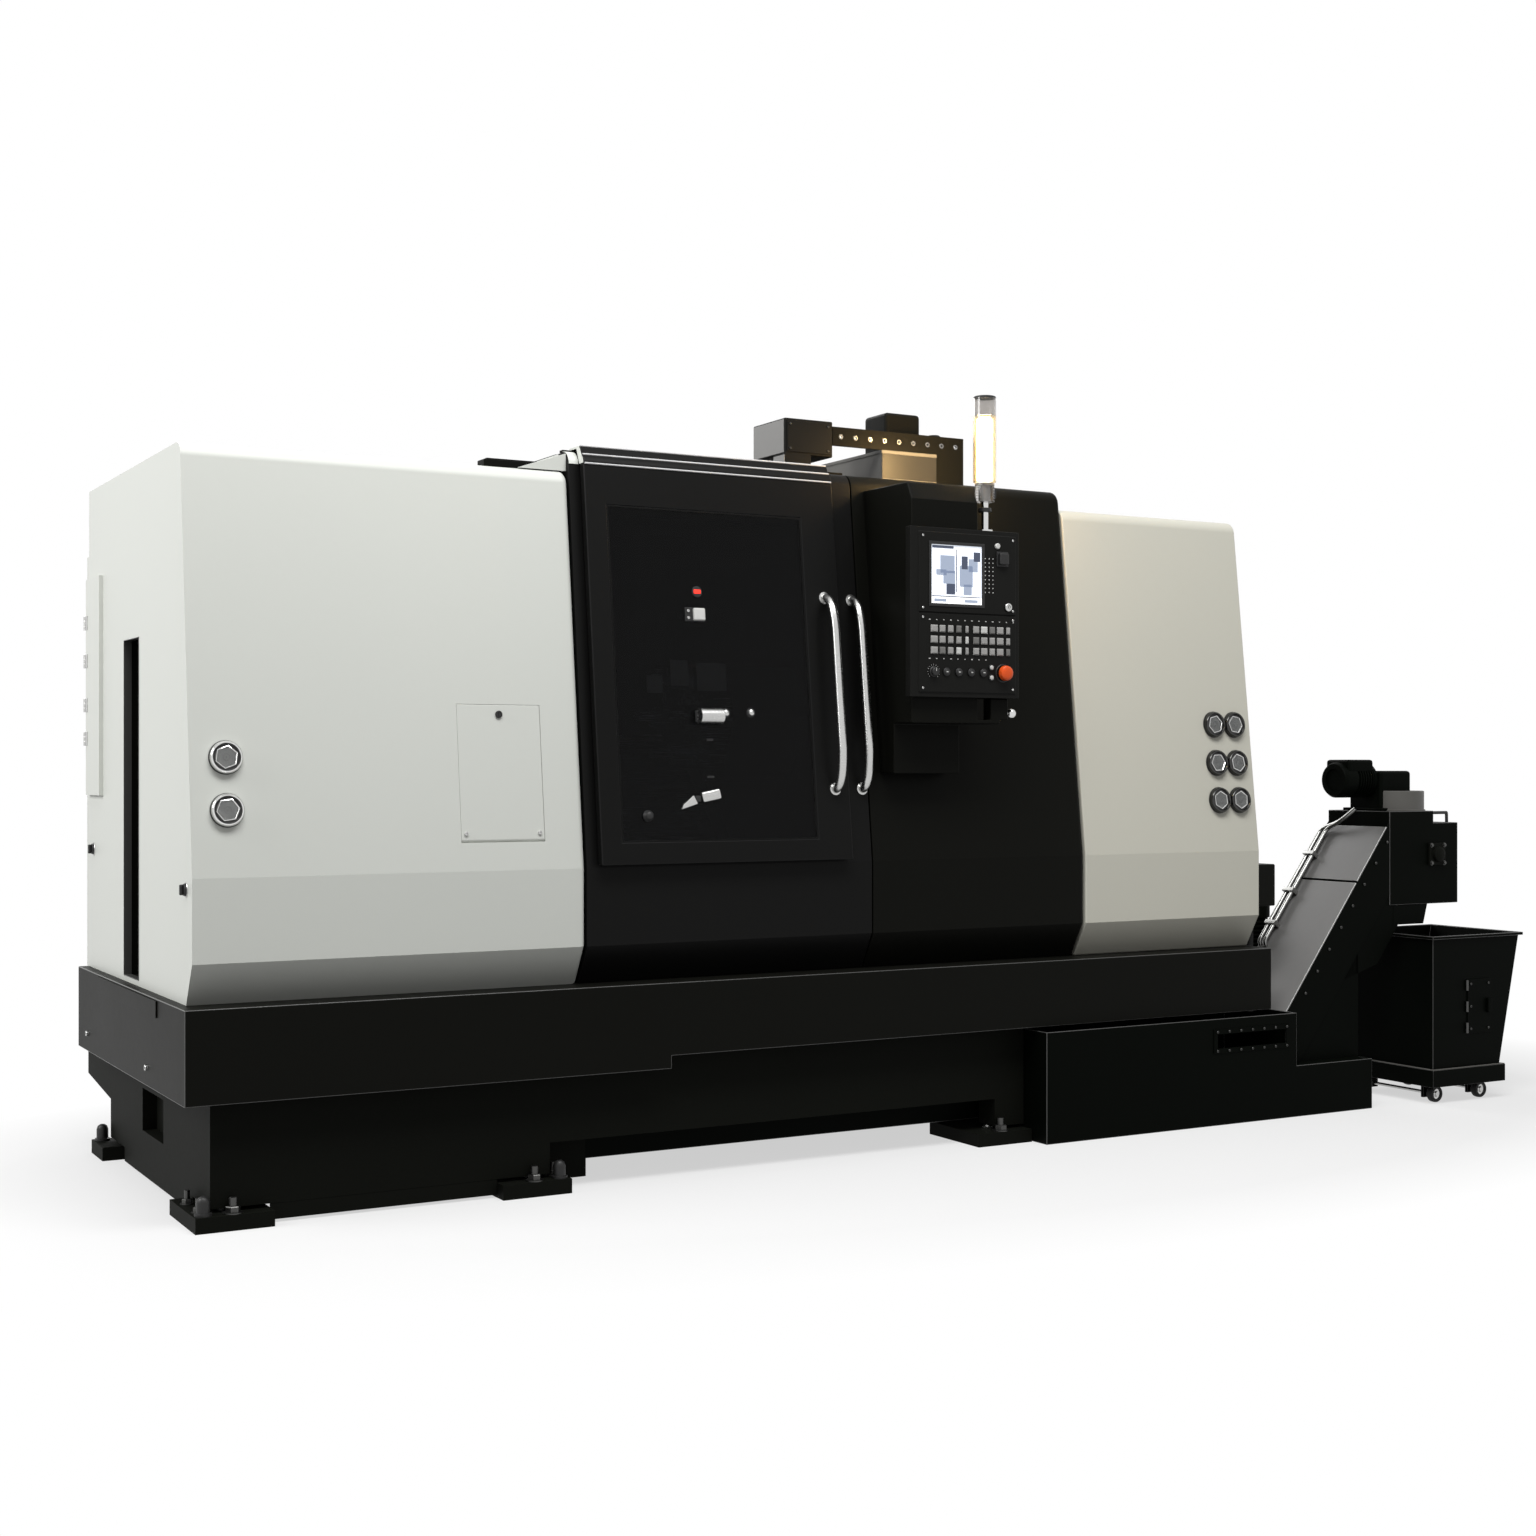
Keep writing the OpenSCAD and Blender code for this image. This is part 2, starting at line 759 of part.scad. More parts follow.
// The duct stands on the leaning panel, so its back follows the face
module console_duct() {
    foot_y = apron_y - 48;
    shelf_h = 12;
    color("#201f1e") placed() {
        along_x(duct_x, duct_w) polygon([
            [duct_y, duct_z], [duct_y, duct_top], [duct_y + chamfer[0], duct_top + chamfer[1]],
            [face_y(duct_top + chamfer[1]), duct_top + chamfer[1]], [face_y(box_low), box_low],
            [foot_y, box_low], [foot_y, duct_z]
        ]);
        box([duct_x + duct_w, duct_y, duct_z], [jog_x - 30, duct_y + 95, duct_z + shelf_h]);
        box([jog_x - 64, duct_y, jog_z - 20], [jog_x, duct_y + 40, console_z]);
    }
}

// Box with two raised face plates, a recess for the screen and a hole for the stop button
module console_box() {
    rim = 14;
    split = screen_z - 28;
    plate_x = [console_x + rim * 2, console_x + console_w - rim];
    color("#262524") placed() difference() {
        union() {
            box([console_x, console_y, console_z], [console_x + console_w, duct_y, console_top]);
            box([duct_x + duct_w, duct_y, console_z], [console_x + console_w - 6, duct_y + 85, console_top]);
            box([plate_x[0], plate_y, split + 2], [plate_x[1], console_y, console_top - rim]);
            box([plate_x[0], plate_y, console_z + rim], [plate_x[1], console_y, split - 2]);
        }
        box([screen_x, plate_y - 1, screen_z], [screen_x + screen_w, console_y, screen_z + screen_h]);
        stop_place() translate([0, 0, -stop_travel - stop_seat])
            cylinder(h = stop_seat * 4, r = stop_r * 0.6 + slide_gap);
    }
}

module lcd_screen() {
    color("#dfe7ea") placed()
        box([screen_x, plate_y + 1, screen_z], [screen_x + screen_w, console_y, screen_z + screen_h]);
}

module console_keys() {
    key_t = 5;
    color("#8d8b86") placed() {
        for (row = [0:2], col = [0:9])
            translate([keys_x + col * key_pitch[0] - (col < 5 ? 4 : 0), plate_y, keys_z + row * key_pitch[1]])
                translate([0, -key_t, 0]) cube([key_s, key_t, key_s]);
        for (i = [1:4])
            translate([dial_x + i * 44, plate_y, stop_z]) rotate([90, 0, 0]) cylinder(h = 8, r = 10);
    }
}

module stop_place() {
    translate([stop_x, plate_y, stop_z]) rotate([90, 0, 0]) children();
}

// The shaft runs in a hole of the face plate and the head stands clear of it by its travel
module stop_button() {
    head_t = 20;
    color("#d8481c") placed() stop_place() {
        translate([0, 0, stop_travel + 1]) cylinder(h = head_t, r = stop_r);
        translate([0, 0, slide_gap - stop_seat]) cylinder(h = stop_seat + stop_travel + 2, r = stop_r * 0.6);
    }
}

module override_knob() {
    knob_t = 14;
    color("#1a1a1a") placed() translate([dial_x, plate_y, stop_z]) rotate([90, 0, 0]) {
        cylinder(h = knob_t, r = dial_r);
        translate([-2, 0, knob_t]) cube([4, dial_r, 2]);
    }
}

// Ball knob on the side of its housing under the console
module jog_knob() {
    ball_r = 16;
    stem = 12;
    color("silver") placed() translate([jog_x, duct_y + 20, jog_z]) {
        rod_x(0, stem + 4, 6);
        translate([stem + ball_r - 4, 0, 0]) sphere(ball_r);
    }
}

module signal_pole() {
    color("silver") placed() translate([lamp_x, lamp_y, console_top]) {
        cylinder(h = pole_h, r = pole_r);
        cylinder(h = 8, r = pole_r * 2.2);
    }
}

module signal_lamp() {
    cap_h = 18;
    color("#ffc46b") placed() translate([lamp_x, lamp_y, pole_z]) {
        cylinder(h = collar_h, r = lamp_r * 0.86);
        translate([0, 0, collar_h]) cylinder(h = lamp_h, r = lamp_r);
        translate([0, 0, collar_h + lamp_h]) cylinder(h = cap_h, r = lamp_r * 0.94);
    }
}

module gauges() {
    dial_in = 5;
    color("#b9b9b6") placed() for (p = gauge_places) on_face(p[0], p[1]) difference() {
        cylinder(h = gauge_t, r = gauge_r);
        translate([0, 0, gauge_t - dial_in]) cylinder(h = dial_in + 1, r = gauge_r - 7);
    }
}

module slant_bed() {
    top = [bed_y + bed_rise, bed_z + bed_rise];
    color("#55575a") placed() {
        along_x(bed_x0, bed_x1 - bed_x0) polygon([
            [bed_y, pan_in], [bed_y, bed_z], top, [top[0] + bed_edge, top[1]], [top[0] + bed_edge, pan_in]
        ]);
        on_bed() for (u = way_u) translate([bed_x0, u, 0]) cube([bed_x1 - bed_x0, way_w, way_h]);
    }
}

module headstock() {
    color("#4a4d50") placed() difference() {
        on_bed() translate([stock_x0, axis_u - stock_w / 2, way_h])
            cube([stock_x1 - stock_x0, stock_w, spindle_v + spindle_r + 60 - way_h]);
        on_axis() rod_x(stock_x0 - 1, stock_x1 - stock_x0 + 2, spindle_r + run_gap);
    }
}

module spindle() {
    bore = 32;
    color("#9b9d9f") placed() on_axis() difference() {
        union() {
            rod_x(pulley_x, nose_x - pulley_x, spindle_r);
            rod_x(pulley_x, pulley_w, pulley_r);
            rod_x(stock_x1 + 1, nose_x - stock_x1 - 1, spindle_r + 35);
        }
        rod_x(pulley_x - 1, nose_x - pulley_x + 2, bore);
    }
}

module jaw_spokes() {
    for (i = [0:2]) rotate([i * 120, 0, 0]) children();
}

module chuck() {
    bore = 40;
    color("#a8aaac") placed() on_axis() difference() {
        rod_x(nose_x, chuck_t, chuck_r);
        rod_x(nose_x - 1, chuck_t + 2, bore);
        jaw_spokes() translate([chuck_x1 - key_d, -jaw_w / 2, 0]) cube([key_d + 1, jaw_w, chuck_r + 1]);
    }
}

// A stepped jaw whose key runs in the chuck's slot
module jaw(i) {
    low = 62;
    high = chuck_r - low - 22;
    wide = jaw_w + 8;
    color("#8e9093") placed() on_axis() rotate([i * 120, 0, 0]) {
        translate([chuck_x1 - key_d + slide_gap, -jaw_w / 2 + slide_gap, low])
            cube([key_d, jaw_w - 2 * slide_gap, high]);
        translate([chuck_x1 + slide_gap, -wide / 2, low]) cube([jaw_t * 0.55, wide, high]);
        translate([chuck_x1 + slide_gap, -wide / 2, low]) cube([jaw_t, wide, high / 2]);
    }
}

module motor_pulley() {
    color("#7d7f82") placed() translate([0, motor_y, motor_z]) {
        rod_x(pulley_x, pulley_w, pulley_r);
        rod_x(pulley_x + pulley_w, stock_x0 + 20 - pulley_x - pulley_w, 30);
    }
}

module spindle_motor() {
    motor_x = stock_x0 + 8;
    motor_l = 420;
    color("#3f4347") placed() {
        difference() {
            union() {
                translate([0, motor_y, motor_z]) rod_x(motor_x, motor_l, motor_r);
                box([motor_x + 40, motor_y - motor_r * 0.8, pan_in],
                    [motor_x + motor_l - 40, motor_y + motor_r * 0.8, motor_z]);
            }
            translate([0, motor_y, motor_z]) rod_x(motor_x - 1, 14, 30 + run_gap);
        }
    }
}

module drive_belt() {
    dy = axis_y - motor_y;
    dz = spindle_z - motor_z;
    span = sqrt(dy * dy + dz * dz);
    inner = pulley_r + slide_gap;
    module loop(r) {
        circle(r);
        translate([span, 0]) circle(r);
        translate([0, -r]) square([span, 2 * r]);
    }
    color("#1b1b1b") placed() translate([0, motor_y, motor_z]) rotate([atan2(dz, dy), 0, 0])
        along_x(pulley_x + 6, pulley_w - 12) difference() {
            loop(inner + belt_t);
            loop(inner);
        }
}

module saddle() {
    color("#5f6265") placed() on_bed()
        translate([saddle_x, way_u[0], way_h]) cube([saddle_l, way_u[2] + way_w - way_u[0], saddle_t]);
}

// The housing rides on the saddle and carries the disc's shaft
module turret_slide() {
    body = [saddle_l * 0.89, 2 * disc_r * 0.72, spindle_v * 1.41 - way_h - saddle_t];
    color("#74777a") placed() on_bed() difference() {
        translate([saddle_x, disc_u - body[1] / 2, way_h + saddle_t]) cube(body);
        translate([0, disc_u, spindle_v]) rod_x(saddle_x - 1, 121, 60 + run_gap);
    }
}

// Alternate stations hold a turning tool on the rim and a boring bar on the face
module turret_disc() {
    holder = [disc_t * 0.66, 62, tool_out * 0.62];
    color("#8b8e91") placed() on_bed() translate([0, disc_u, spindle_v]) {
        rod_x(disc_x, disc_t, disc_r);
        rod_x(disc_x + disc_t, saddle_x - disc_x - disc_t + 118, 60);
        for (i = [0:stations - 1]) rotate([i * station_deg, 0, 0]) {
            if (i % 2 == 0) {
                translate([disc_x + 8, -holder[1] / 2, disc_r - 8])
                    cube([holder[0], holder[1], holder[2] + 8]);
                translate([disc_x - 26, -12, disc_r + holder[2] - 26])
                    cube([holder[0] + 26, 24, tool_out - holder[2] + 26]);
            } else {
                translate([0, 0, disc_r - 48]) {
                    rod_x(disc_x - 58, 60, 34);
                    rod_x(disc_x - 118, 62, 16);
                }
            }
        }
    }
}

module tailstock() {
    color("#5a5d60") placed() difference() {
        on_bed() translate([tail_x, axis_u - tail_u / 2, way_h])
            cube([tail_l, tail_u, spindle_v + quill_r + 60 - way_h]);
        on_axis() rod_x(tail_x - 1, tail_l + 2, quill_r + run_gap);
    }
}

module quill() {
    nose = 80;
    color("#b3b5b7") placed() on_axis() {
        rod_x(tail_x - 30, tail_l + 20, quill_r);
        translate([tail_x - 30 - nose, 0, 0]) rotate([0, 90, 0]) cylinder(h = nose, r1 = 4, r2 = 30);
    }
}

// Outline of the door with the lip that hangs on the rail
module door_outline() {
    near = door_gap;
    far = door_gap + door_t;
    edge = round_edge(top_z, far, roof_r);
    lip_back = rail_y + rail_d;
    polygon(concat(
        [[face_y(door_z) - near, door_z], [face_y(door_z) - far, door_z]],
        [for (i = [0:3]) edge[i]],
        [[edge[3][0] + 16, door_top + door_lip], [lip_back, door_top + door_lip], [lip_back, door_top],
         [face_y(top_z - roof_r) - near + 22, door_top], [face_y(top_z - roof_r) - near, top_z - roof_r]]
    ));
}

module window_place() {
    on_face(window_x, window_z, door_gap + door_t) children();
}

module door_panel() {
    color("#171616") placed() difference() {
        along_x(door_x, door_w) door_outline();
        window_place() translate([0, 0, -door_t * 2]) cube([window_w, window_h, door_t * 3]);
    }
}

module door_window() {
    inset = 2;
    color("#1e2022") placed() window_place()
        translate([0, 0, -inset - window_t]) cube([window_w, window_h, window_t]);
}

module door_handle() {
    color("silver") placed() on_face(handle_x, handle_z, door_gap + door_t) bow_handle();
}

module grab_handle() {
    color("silver") placed() on_face(grab_x, handle_z) bow_handle();
}

// Local x and y lie in the leaning face with the hatch's lower left corner at the origin
module hatch_place(depth) {
    on_face(frame_x - seam - hatch_off - hatch_w, hatch_z) translate([0, 0, -depth]) children();
}

// The hatch turns about the middle of its rounded lower edge
module hatch() {
    round = hatch_t / 2;
    color("#cfd1cb") placed() hatch_place(hatch_t) along_x(0, hatch_w) {
        translate([round, 0]) square([hatch_h - round, hatch_t]);
        translate([round, round]) circle(round);
    }
}

module hatch_lock() {
    neck = 2;
    head = 4;
    color("#3c3c3a") placed() hatch_place(0) translate([hatch_w / 2, hatch_h - lock_up, 0]) {
        cylinder(h = neck, r = lock_r * 0.7);
        translate([0, 0, neck]) cylinder(h = head, r = lock_r);
        translate([-2, -lock_r * 0.8, neck + head]) cube([4, lock_r * 1.6, 1]);
    }
}

module end_latch(y, z) {
    thick = 8;
    color("#5c5b58") placed() translate([left_x, y, z]) rotate([0, -90, 0]) {
        cylinder(h = thick, r = latch_r);
        translate([-latch_r * 0.7, -4, thick]) cube([latch_r * 1.4, 8, 8]);
    }
}

module end_latch_front() {
    end_latch(apron_y + 60, lean_z - 30);
}

module end_latch_rear() {
    end_latch(cover_back - 70, lean_z + 34);
}

// The trough under the bed leads the chips into the tank, whose tabs hold it against the pan
module conveyor_tank() {
    window_x0 = tank_step - tank_window[0] - 48;
    rim_z = floor_z - 12;
    tab = 60;
    annex = [tank_step + 24, tank_back + 250];
    trough_z = base_z + 10;
    color("#201f1e") placed() difference() {
        union() {
            along_y(tank_y, tank_back - tank_y) polygon([
                [tank_x, 0], [tank_x1, 0], [tank_x1, tank_low], [tank_step, tank_low],
                [tank_step, rim_z], [tank_x, rim_z]
            ]);
            box([trough_x, trough_y + 10, trough_z], [tank_x, tank_back, rim_z]);
            box([annex[0], tank_back, 0], [tank_x1, annex[1], tank_low + 120]);
            for (x = [tank_x + tab, right_end - 3 * tab])
                box([x, tank_back - conv_t, rim_z - tab], [x + tab, tank_back, floor_z]);
        }
        box([tank_x + conv_t, tank_y + conv_t, conv_t], [tank_step - conv_t, tank_back - conv_t, floor_z + 1]);
        box([trough_x + conv_t, trough_y + 10 + conv_t, trough_z + conv_t],
            [tank_x + 2 * conv_t, tank_back - conv_t, floor_z]);
        box([window_x0, tank_y - 1, tank_window[2]],
            [window_x0 + tank_window[0], tank_y + conv_t + 1, tank_window[2] + tank_window[1]]);
    }
}

// Local x runs up the trunk's slope and local z out of its top
module on_trunk() {
    translate([trunk_x, conv_y, trunk_z]) rotate([0, -trunk_deg, 0]) children();
}

// Sloping channel; the plates close its top
module conveyor_trunk() {
    past = 400;
    color("#242322") placed() difference() {
        intersection() {
            on_trunk() translate([-past, 0, -trunk_d]) cube([trunk_l + past, conv_w, trunk_d]);
            box([tank_step, conv_y - 1, tank_low], [head_x - slide_gap, conv_y + conv_w + 1, head_top]);
        }
        on_trunk() translate([-past, conv_t, conv_t - trunk_d])
            cube([trunk_l + 2 * past, conv_w - 2 * conv_t, trunk_d]);
    }
}

module conveyor_covers() {
    plate = 5;
    split = trunk_l * 0.71;
    gap = 8;
    low = (tank_step - trunk_x) / cos(trunk_deg) + gap;
    color("#77756f") placed() on_trunk() {
        translate([low, 0, 0]) cube([split - low - gap, conv_w, plate]);
        translate([split, 0, 0]) cube([trunk_l - split - 20, conv_w, plate]);
    }
}

module conveyor_head() {
    step = [head_l * 0.64, 42];
    color("#1f1e1d") placed() difference() {
        along_y(conv_y, conv_w) polygon([
            [head_x, head_z], [head_x + head_l, head_z], [head_x + head_l, head_top - step[1]],
            [head_x + step[0], head_top - step[1]], [head_x + step[0], head_top], [head_x, head_top]
        ]);
        box([outlet[0], conv_y + conv_t, head_z - 1],
            [outlet[1], conv_y + conv_w - conv_t, head_top - step[1] - conv_t]);
    }
}

module conveyor_motor() {
    gear = [150, 150, 140];
    body_r = 62;
    body_l = 232;
    gear_x = head_x + 30;
    drum_r = 36;
    color("#2b2a29") placed() {
        translate([gear_x, conv_y + 70, head_top]) cube(gear);
        translate([0, conv_y + 70 - drum_r + 6, head_top + drum_r + 2]) rod_x(head_x + 11, head_l * 0.67, drum_r);
        translate([0, conv_y + 145, head_top + gear[2] - body_r + 30]) rod_x(gear_x - body_l, body_l, body_r);
    }
}

module coolant_pump() {
    pump_r = 68;
    color("#2d2f31") placed() translate([tank_x1 - 110, tank_back + 125, tank_low + 120]) {
        cylinder(h = 18, r = pump_r + 18);
        cylinder(h = 420, r = pump_r);
    }
}

module cart_dolly() {
    ear = [24, 12];
    grown = 14;
    color("#2a2927") placed() difference() {
        union() {
            box([cart_x - grown, cart_y - grown, dolly_z],
                [cart_x + bin_l - bin_slope + grown, cart_y + bin_d + grown, bin_z]);
            for (x = axle_x, y = [cart_y + 66, cart_y + bin_d - 66 - ear[1]])
                box([x - ear[0], y, wheel_r - axle_r * 2.5], [x + ear[0], y + ear[1], dolly_z]);
        }
        for (x = axle_x) translate([x, cart_y, wheel_r]) rotate([-90, 0, 0])
            cylinder(h = bin_d, r = axle_r + run_gap);
    }
}

module cart_bin() {
    rim = 10;
    module outline(wall) {
        top = bin_z + bin_h + (wall > 0 ? 1 : 0);
        polygon([
            [cart_x + wall, bin_z + wall], [cart_x + bin_l - bin_slope - wall, bin_z + wall],
            [cart_x + bin_l - wall, top], [cart_x + wall, top]
        ]);
    }
    color("#232221") placed() difference() {
        union() {
            along_y(cart_y, bin_d) outline(0);
            box([cart_x - rim, cart_y - rim, bin_z + bin_h - rim],
                [cart_x + bin_l + rim, cart_y + bin_d + rim, bin_z + bin_h]);
        }
        along_y(cart_y + bin_t, bin_d - 2 * bin_t) outline(bin_t);
    }
}

module wheel_pair(x) {
    wheel_w = 26;
    inset = 26;
    color("#3a3a38") placed() translate([x, cart_y, wheel_r]) rotate([-90, 0, 0]) {
        translate([0, 0, inset]) cylinder(h = bin_d - 2 * inset, r = axle_r);
        for (y = [inset, bin_d - inset - wheel_w]) translate([0, 0, y]) cylinder(h = wheel_w, r = wheel_r);
    }
}

module cart_wheels_left() {
    wheel_pair(axle_x[0]);
}

module cart_wheels_right() {
    wheel_pair(axle_x[1]);
}

module jaw_1() {
    jaw(0);
}

module jaw_2() {
    jaw(1);
}

module jaw_3() {
    jaw(2);
}

base_casting();
levelling_pads();
levelling_screws();
drip_pan();
headstock_cover();
slot_channel();
enclosure();
door_frame();
door_rail();
front_panel();
tailstock_cover();
rear_cabinet();
cabinet_door();
roof_box();
roof_bracket();
roof_housing();
roof_motor();
console_duct();
console_box();
lcd_screen();
console_keys();
signal_pole();
signal_lamp();
gauges();
slant_bed();
headstock();
spindle_motor();
drive_belt();
grab_handle();
conveyor_tank();
conveyor_trunk();
conveyor_covers();
conveyor_head();
conveyor_motor();
coolant_pump();
door_panel();
door_window();
door_handle();
hatch();
hatch_lock();
end_latch_front();
end_latch_rear();
spindle();
chuck();
jaw_1();
jaw_2();
jaw_3();
motor_pulley();
saddle();
turret_slide();
turret_disc();
tailstock();
quill();
stop_button();
override_knob();
jog_knob();
cart_dolly();
cart_bin();
cart_wheels_left();
cart_wheels_right();
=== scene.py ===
import json
import math

import bmesh
import bpy
from mathutils import Matrix, Vector


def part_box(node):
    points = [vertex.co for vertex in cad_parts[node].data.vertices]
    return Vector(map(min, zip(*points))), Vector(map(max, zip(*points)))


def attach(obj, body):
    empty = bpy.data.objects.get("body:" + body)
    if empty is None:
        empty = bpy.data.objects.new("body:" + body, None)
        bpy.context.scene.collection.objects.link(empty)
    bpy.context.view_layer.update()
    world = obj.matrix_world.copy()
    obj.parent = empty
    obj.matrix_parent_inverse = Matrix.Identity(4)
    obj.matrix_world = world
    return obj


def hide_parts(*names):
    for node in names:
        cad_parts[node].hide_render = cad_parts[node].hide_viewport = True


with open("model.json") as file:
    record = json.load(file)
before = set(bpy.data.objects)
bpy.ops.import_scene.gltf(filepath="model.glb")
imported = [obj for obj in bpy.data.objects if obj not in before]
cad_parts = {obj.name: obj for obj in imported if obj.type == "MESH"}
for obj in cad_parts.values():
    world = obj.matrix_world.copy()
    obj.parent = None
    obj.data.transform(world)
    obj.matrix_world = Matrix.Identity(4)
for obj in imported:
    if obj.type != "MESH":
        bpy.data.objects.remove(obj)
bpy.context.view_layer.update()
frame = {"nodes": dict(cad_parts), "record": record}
record = frame["record"]
bodyOf = {node: body for body, group in record["behaviour"]["bodies"].items() for node in group}


# places taken from the frame, in metres
lean = math.radians(6.4)
coverLow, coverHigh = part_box("headstock_cover")
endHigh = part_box("tailstock_cover")[1]
doorLow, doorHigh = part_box("door_panel")
panLow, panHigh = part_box("drip_pan")
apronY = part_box("front_panel")[0].y
creaseZ = doorLow.z - 0.008
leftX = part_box("slot_channel")[0].x - 0.020
insideBack = coverHigh.y - 0.020
rightWall = panLow.x + 3.557


def faceY(z):
    return apronY + max(z - creaseZ, 0.0) * math.tan(lean)


def move(x, y, z):
    return Matrix.Translation((x, y, z))


def turn(degrees, axis):
    return Matrix.Rotation(math.radians(degrees), 4, axis)


def mid(low, high):
    return [(a + b) / 2 for a, b in zip(low, high)]


# local z points out of the leaning front, the front, the left end, the right end or the back
def onFace(x, z, out=0.0):
    return move(x, faceY(z) - out, z) @ turn(90 - math.degrees(lean), "X")


def onFront(x, y, z):
    return move(x, y, z) @ turn(90, "X")


def onLeft(x, y, z):
    return move(x, y, z) @ turn(-90, "Z") @ turn(90, "X")


def onRight(x, y, z):
    return move(x, y, z) @ turn(90, "Z") @ turn(90, "X")


def onBack(x, y, z):
    return move(x, y, z) @ turn(180, "Z") @ turn(90, "X")


# points spread evenly round a circle, from a first angle in degrees
def around(count, first, radius):
    for i in range(count):
        angle = math.radians(first + i * 360 / count)
        yield radius * math.cos(angle), radius * math.sin(angle)


# fins along a motor: radii of root and tip, and the share of a step that a tip takes
def fins(count, start, step, root, tip, land):
    profile = []
    for i in range(count):
        z = start + i * step
        profile += [(root, z), (tip, z + 0.001), (tip, z + step * land), (root, z + step * (land + 0.07))]
    return profile


# shader maths: a wire is one socket that takes part in sums
class Wire:
    def __init__(self, kit, socket):
        self.kit = kit
        self.socket = socket

    def sum(self, operation, first, second):
        return self.kit.node("ShaderNodeMath", {"operation": operation}, {0: first, 1: second})

    def __add__(self, other):
        return self.sum("ADD", self, other)

    def __sub__(self, other):
        return self.sum("SUBTRACT", self, other)

    def __mul__(self, other):
        return self.sum("MULTIPLY", self, other)

    def __truediv__(self, other):
        return self.sum("DIVIDE", self, other)

    def __gt__(self, other):
        return self.sum("GREATER_THAN", self, other)


class Finish:
    # one material, built round one Principled shader
    def __init__(self, name, **constants):
        self.material = bpy.data.materials.new(name)
        self.material.use_nodes = True
        self.tree = self.material.node_tree
        self.tree.nodes.clear()
        self.output = self.tree.nodes.new("ShaderNodeOutputMaterial")
        self.shader = self.tree.nodes.new("ShaderNodeBsdfPrincipled")
        self.tree.links.new(self.shader.outputs[0], self.output.inputs["Surface"])
        for key, value in constants.items():
            self.set(key.replace("_", " "), value)

    def feed(self, socket, value):
        if isinstance(value, Wire):
            self.tree.links.new(value.socket, socket)
        elif socket.type == "RGBA" and len(value) == 3:
            socket.default_value = (*value, 1.0)
        else:
            socket.default_value = value

    def node(self, kind, settings=None, inputs=None, out=0):
        made = self.tree.nodes.new(kind)
        for key, value in (settings or {}).items():
            setattr(made, key, value)
        for key, value in (inputs or {}).items():
            self.feed(made.inputs[key], value)
        return Wire(self, made.outputs[out])

    def set(self, key, value):
        self.feed(self.shader.inputs[key], value)

    def place(self, stretch=(1, 1, 1)):
        spot = self.node("ShaderNodeTexCoord", out="Object")
        return self.node("ShaderNodeMapping", None, {"Vector": spot, "Scale": stretch})

    def axes(self):
        spot = self.node("ShaderNodeTexCoord", out="Object")
        parts = self.tree.nodes.new("ShaderNodeSeparateXYZ")
        self.tree.links.new(spot.socket, parts.inputs[0])
        return [Wire(self, socket) for socket in parts.outputs]

    def noise(self, spot, scale, detail=3.0, rough=0.5):
        return self.node("ShaderNodeTexNoise", None,
                         {"Vector": spot, "Scale": scale, "Detail": detail, "Roughness": rough})

    def spread(self, value, low, high):
        return self.node("ShaderNodeMapRange", {"clamp": True},
                         {"Value": value, "From Min": low, "From Max": high})

    def blend(self, factor, first, second):
        return self.node("ShaderNodeMix", {"data_type": "RGBA"}, {0: factor, 6: first, 7: second}, out=2)

    def bump(self, height, strength, distance):
        self.set("Normal", self.node("ShaderNodeBump", None,
                                     {"Height": height, "Strength": strength, "Distance": distance}))


def shade(colour, factor):
    return tuple(min(c * factor, 1.0) for c in colour)


# sheet paint: slow tone drift, a little dust and fine orange peel, and, where two heights are given, painted
# light going from dark at the first height to pale at the second
def paint(name, colour, rough, spec, peel=0.10, drift=0.05, scale=380.0, fade=None):
    kit = Finish(name, Specular_IOR_Level=spec)
    spot = kit.place()
    cloud = kit.noise(spot, 1.1, 4)
    speck = kit.noise(spot, 46.0, 4, 0.65)
    tone = cloud * 0.7 + speck * 0.3
    # painted light: the tone is darker at the first height and paler at the second, as light falls on the
    # sheet
    if fade:  # heights between which the paint goes from dark to pale
        tone = tone * 0.4 + kit.spread(kit.axes()[2], *fade) * 0.6
    kit.set("Base Color", kit.blend(tone, shade(colour, 1 - drift), shade(colour, 1 + drift)))
    kit.set("Roughness", tone * 0.16 + (rough - 0.08))
    kit.bump(kit.noise(spot, scale, 2), peel, 0.0008)
    return kit.material


# black work paint with rubbed patches where steel shows through
def worn(name, colour, rough, bare=(0.07, 0.068, 0.065), amount=0.63):
    kit = Finish(name, Specular_IOR_Level=0.025)
    spot = kit.place()
    cloud = kit.noise(spot, 3.2, 5, 0.6)
    scuff = kit.noise(kit.place((1, 1, 7)), 34.0, 5, 0.72)
    rubbed = kit.spread(cloud * 0.45 + scuff * 0.55, amount, amount + 0.06)
    kit.set("Base Color", kit.blend(rubbed, kit.blend(cloud, shade(colour, 0.8), shade(colour, 1.25)), bare))
    kit.set("Roughness", cloud * 0.2 + (rough - 0.1))
    kit.set("Metallic", rubbed * 0.6)
    kit.bump(kit.noise(spot, 220.0, 3) - rubbed * 0.5, 0.14, 0.0006)
    return kit.material


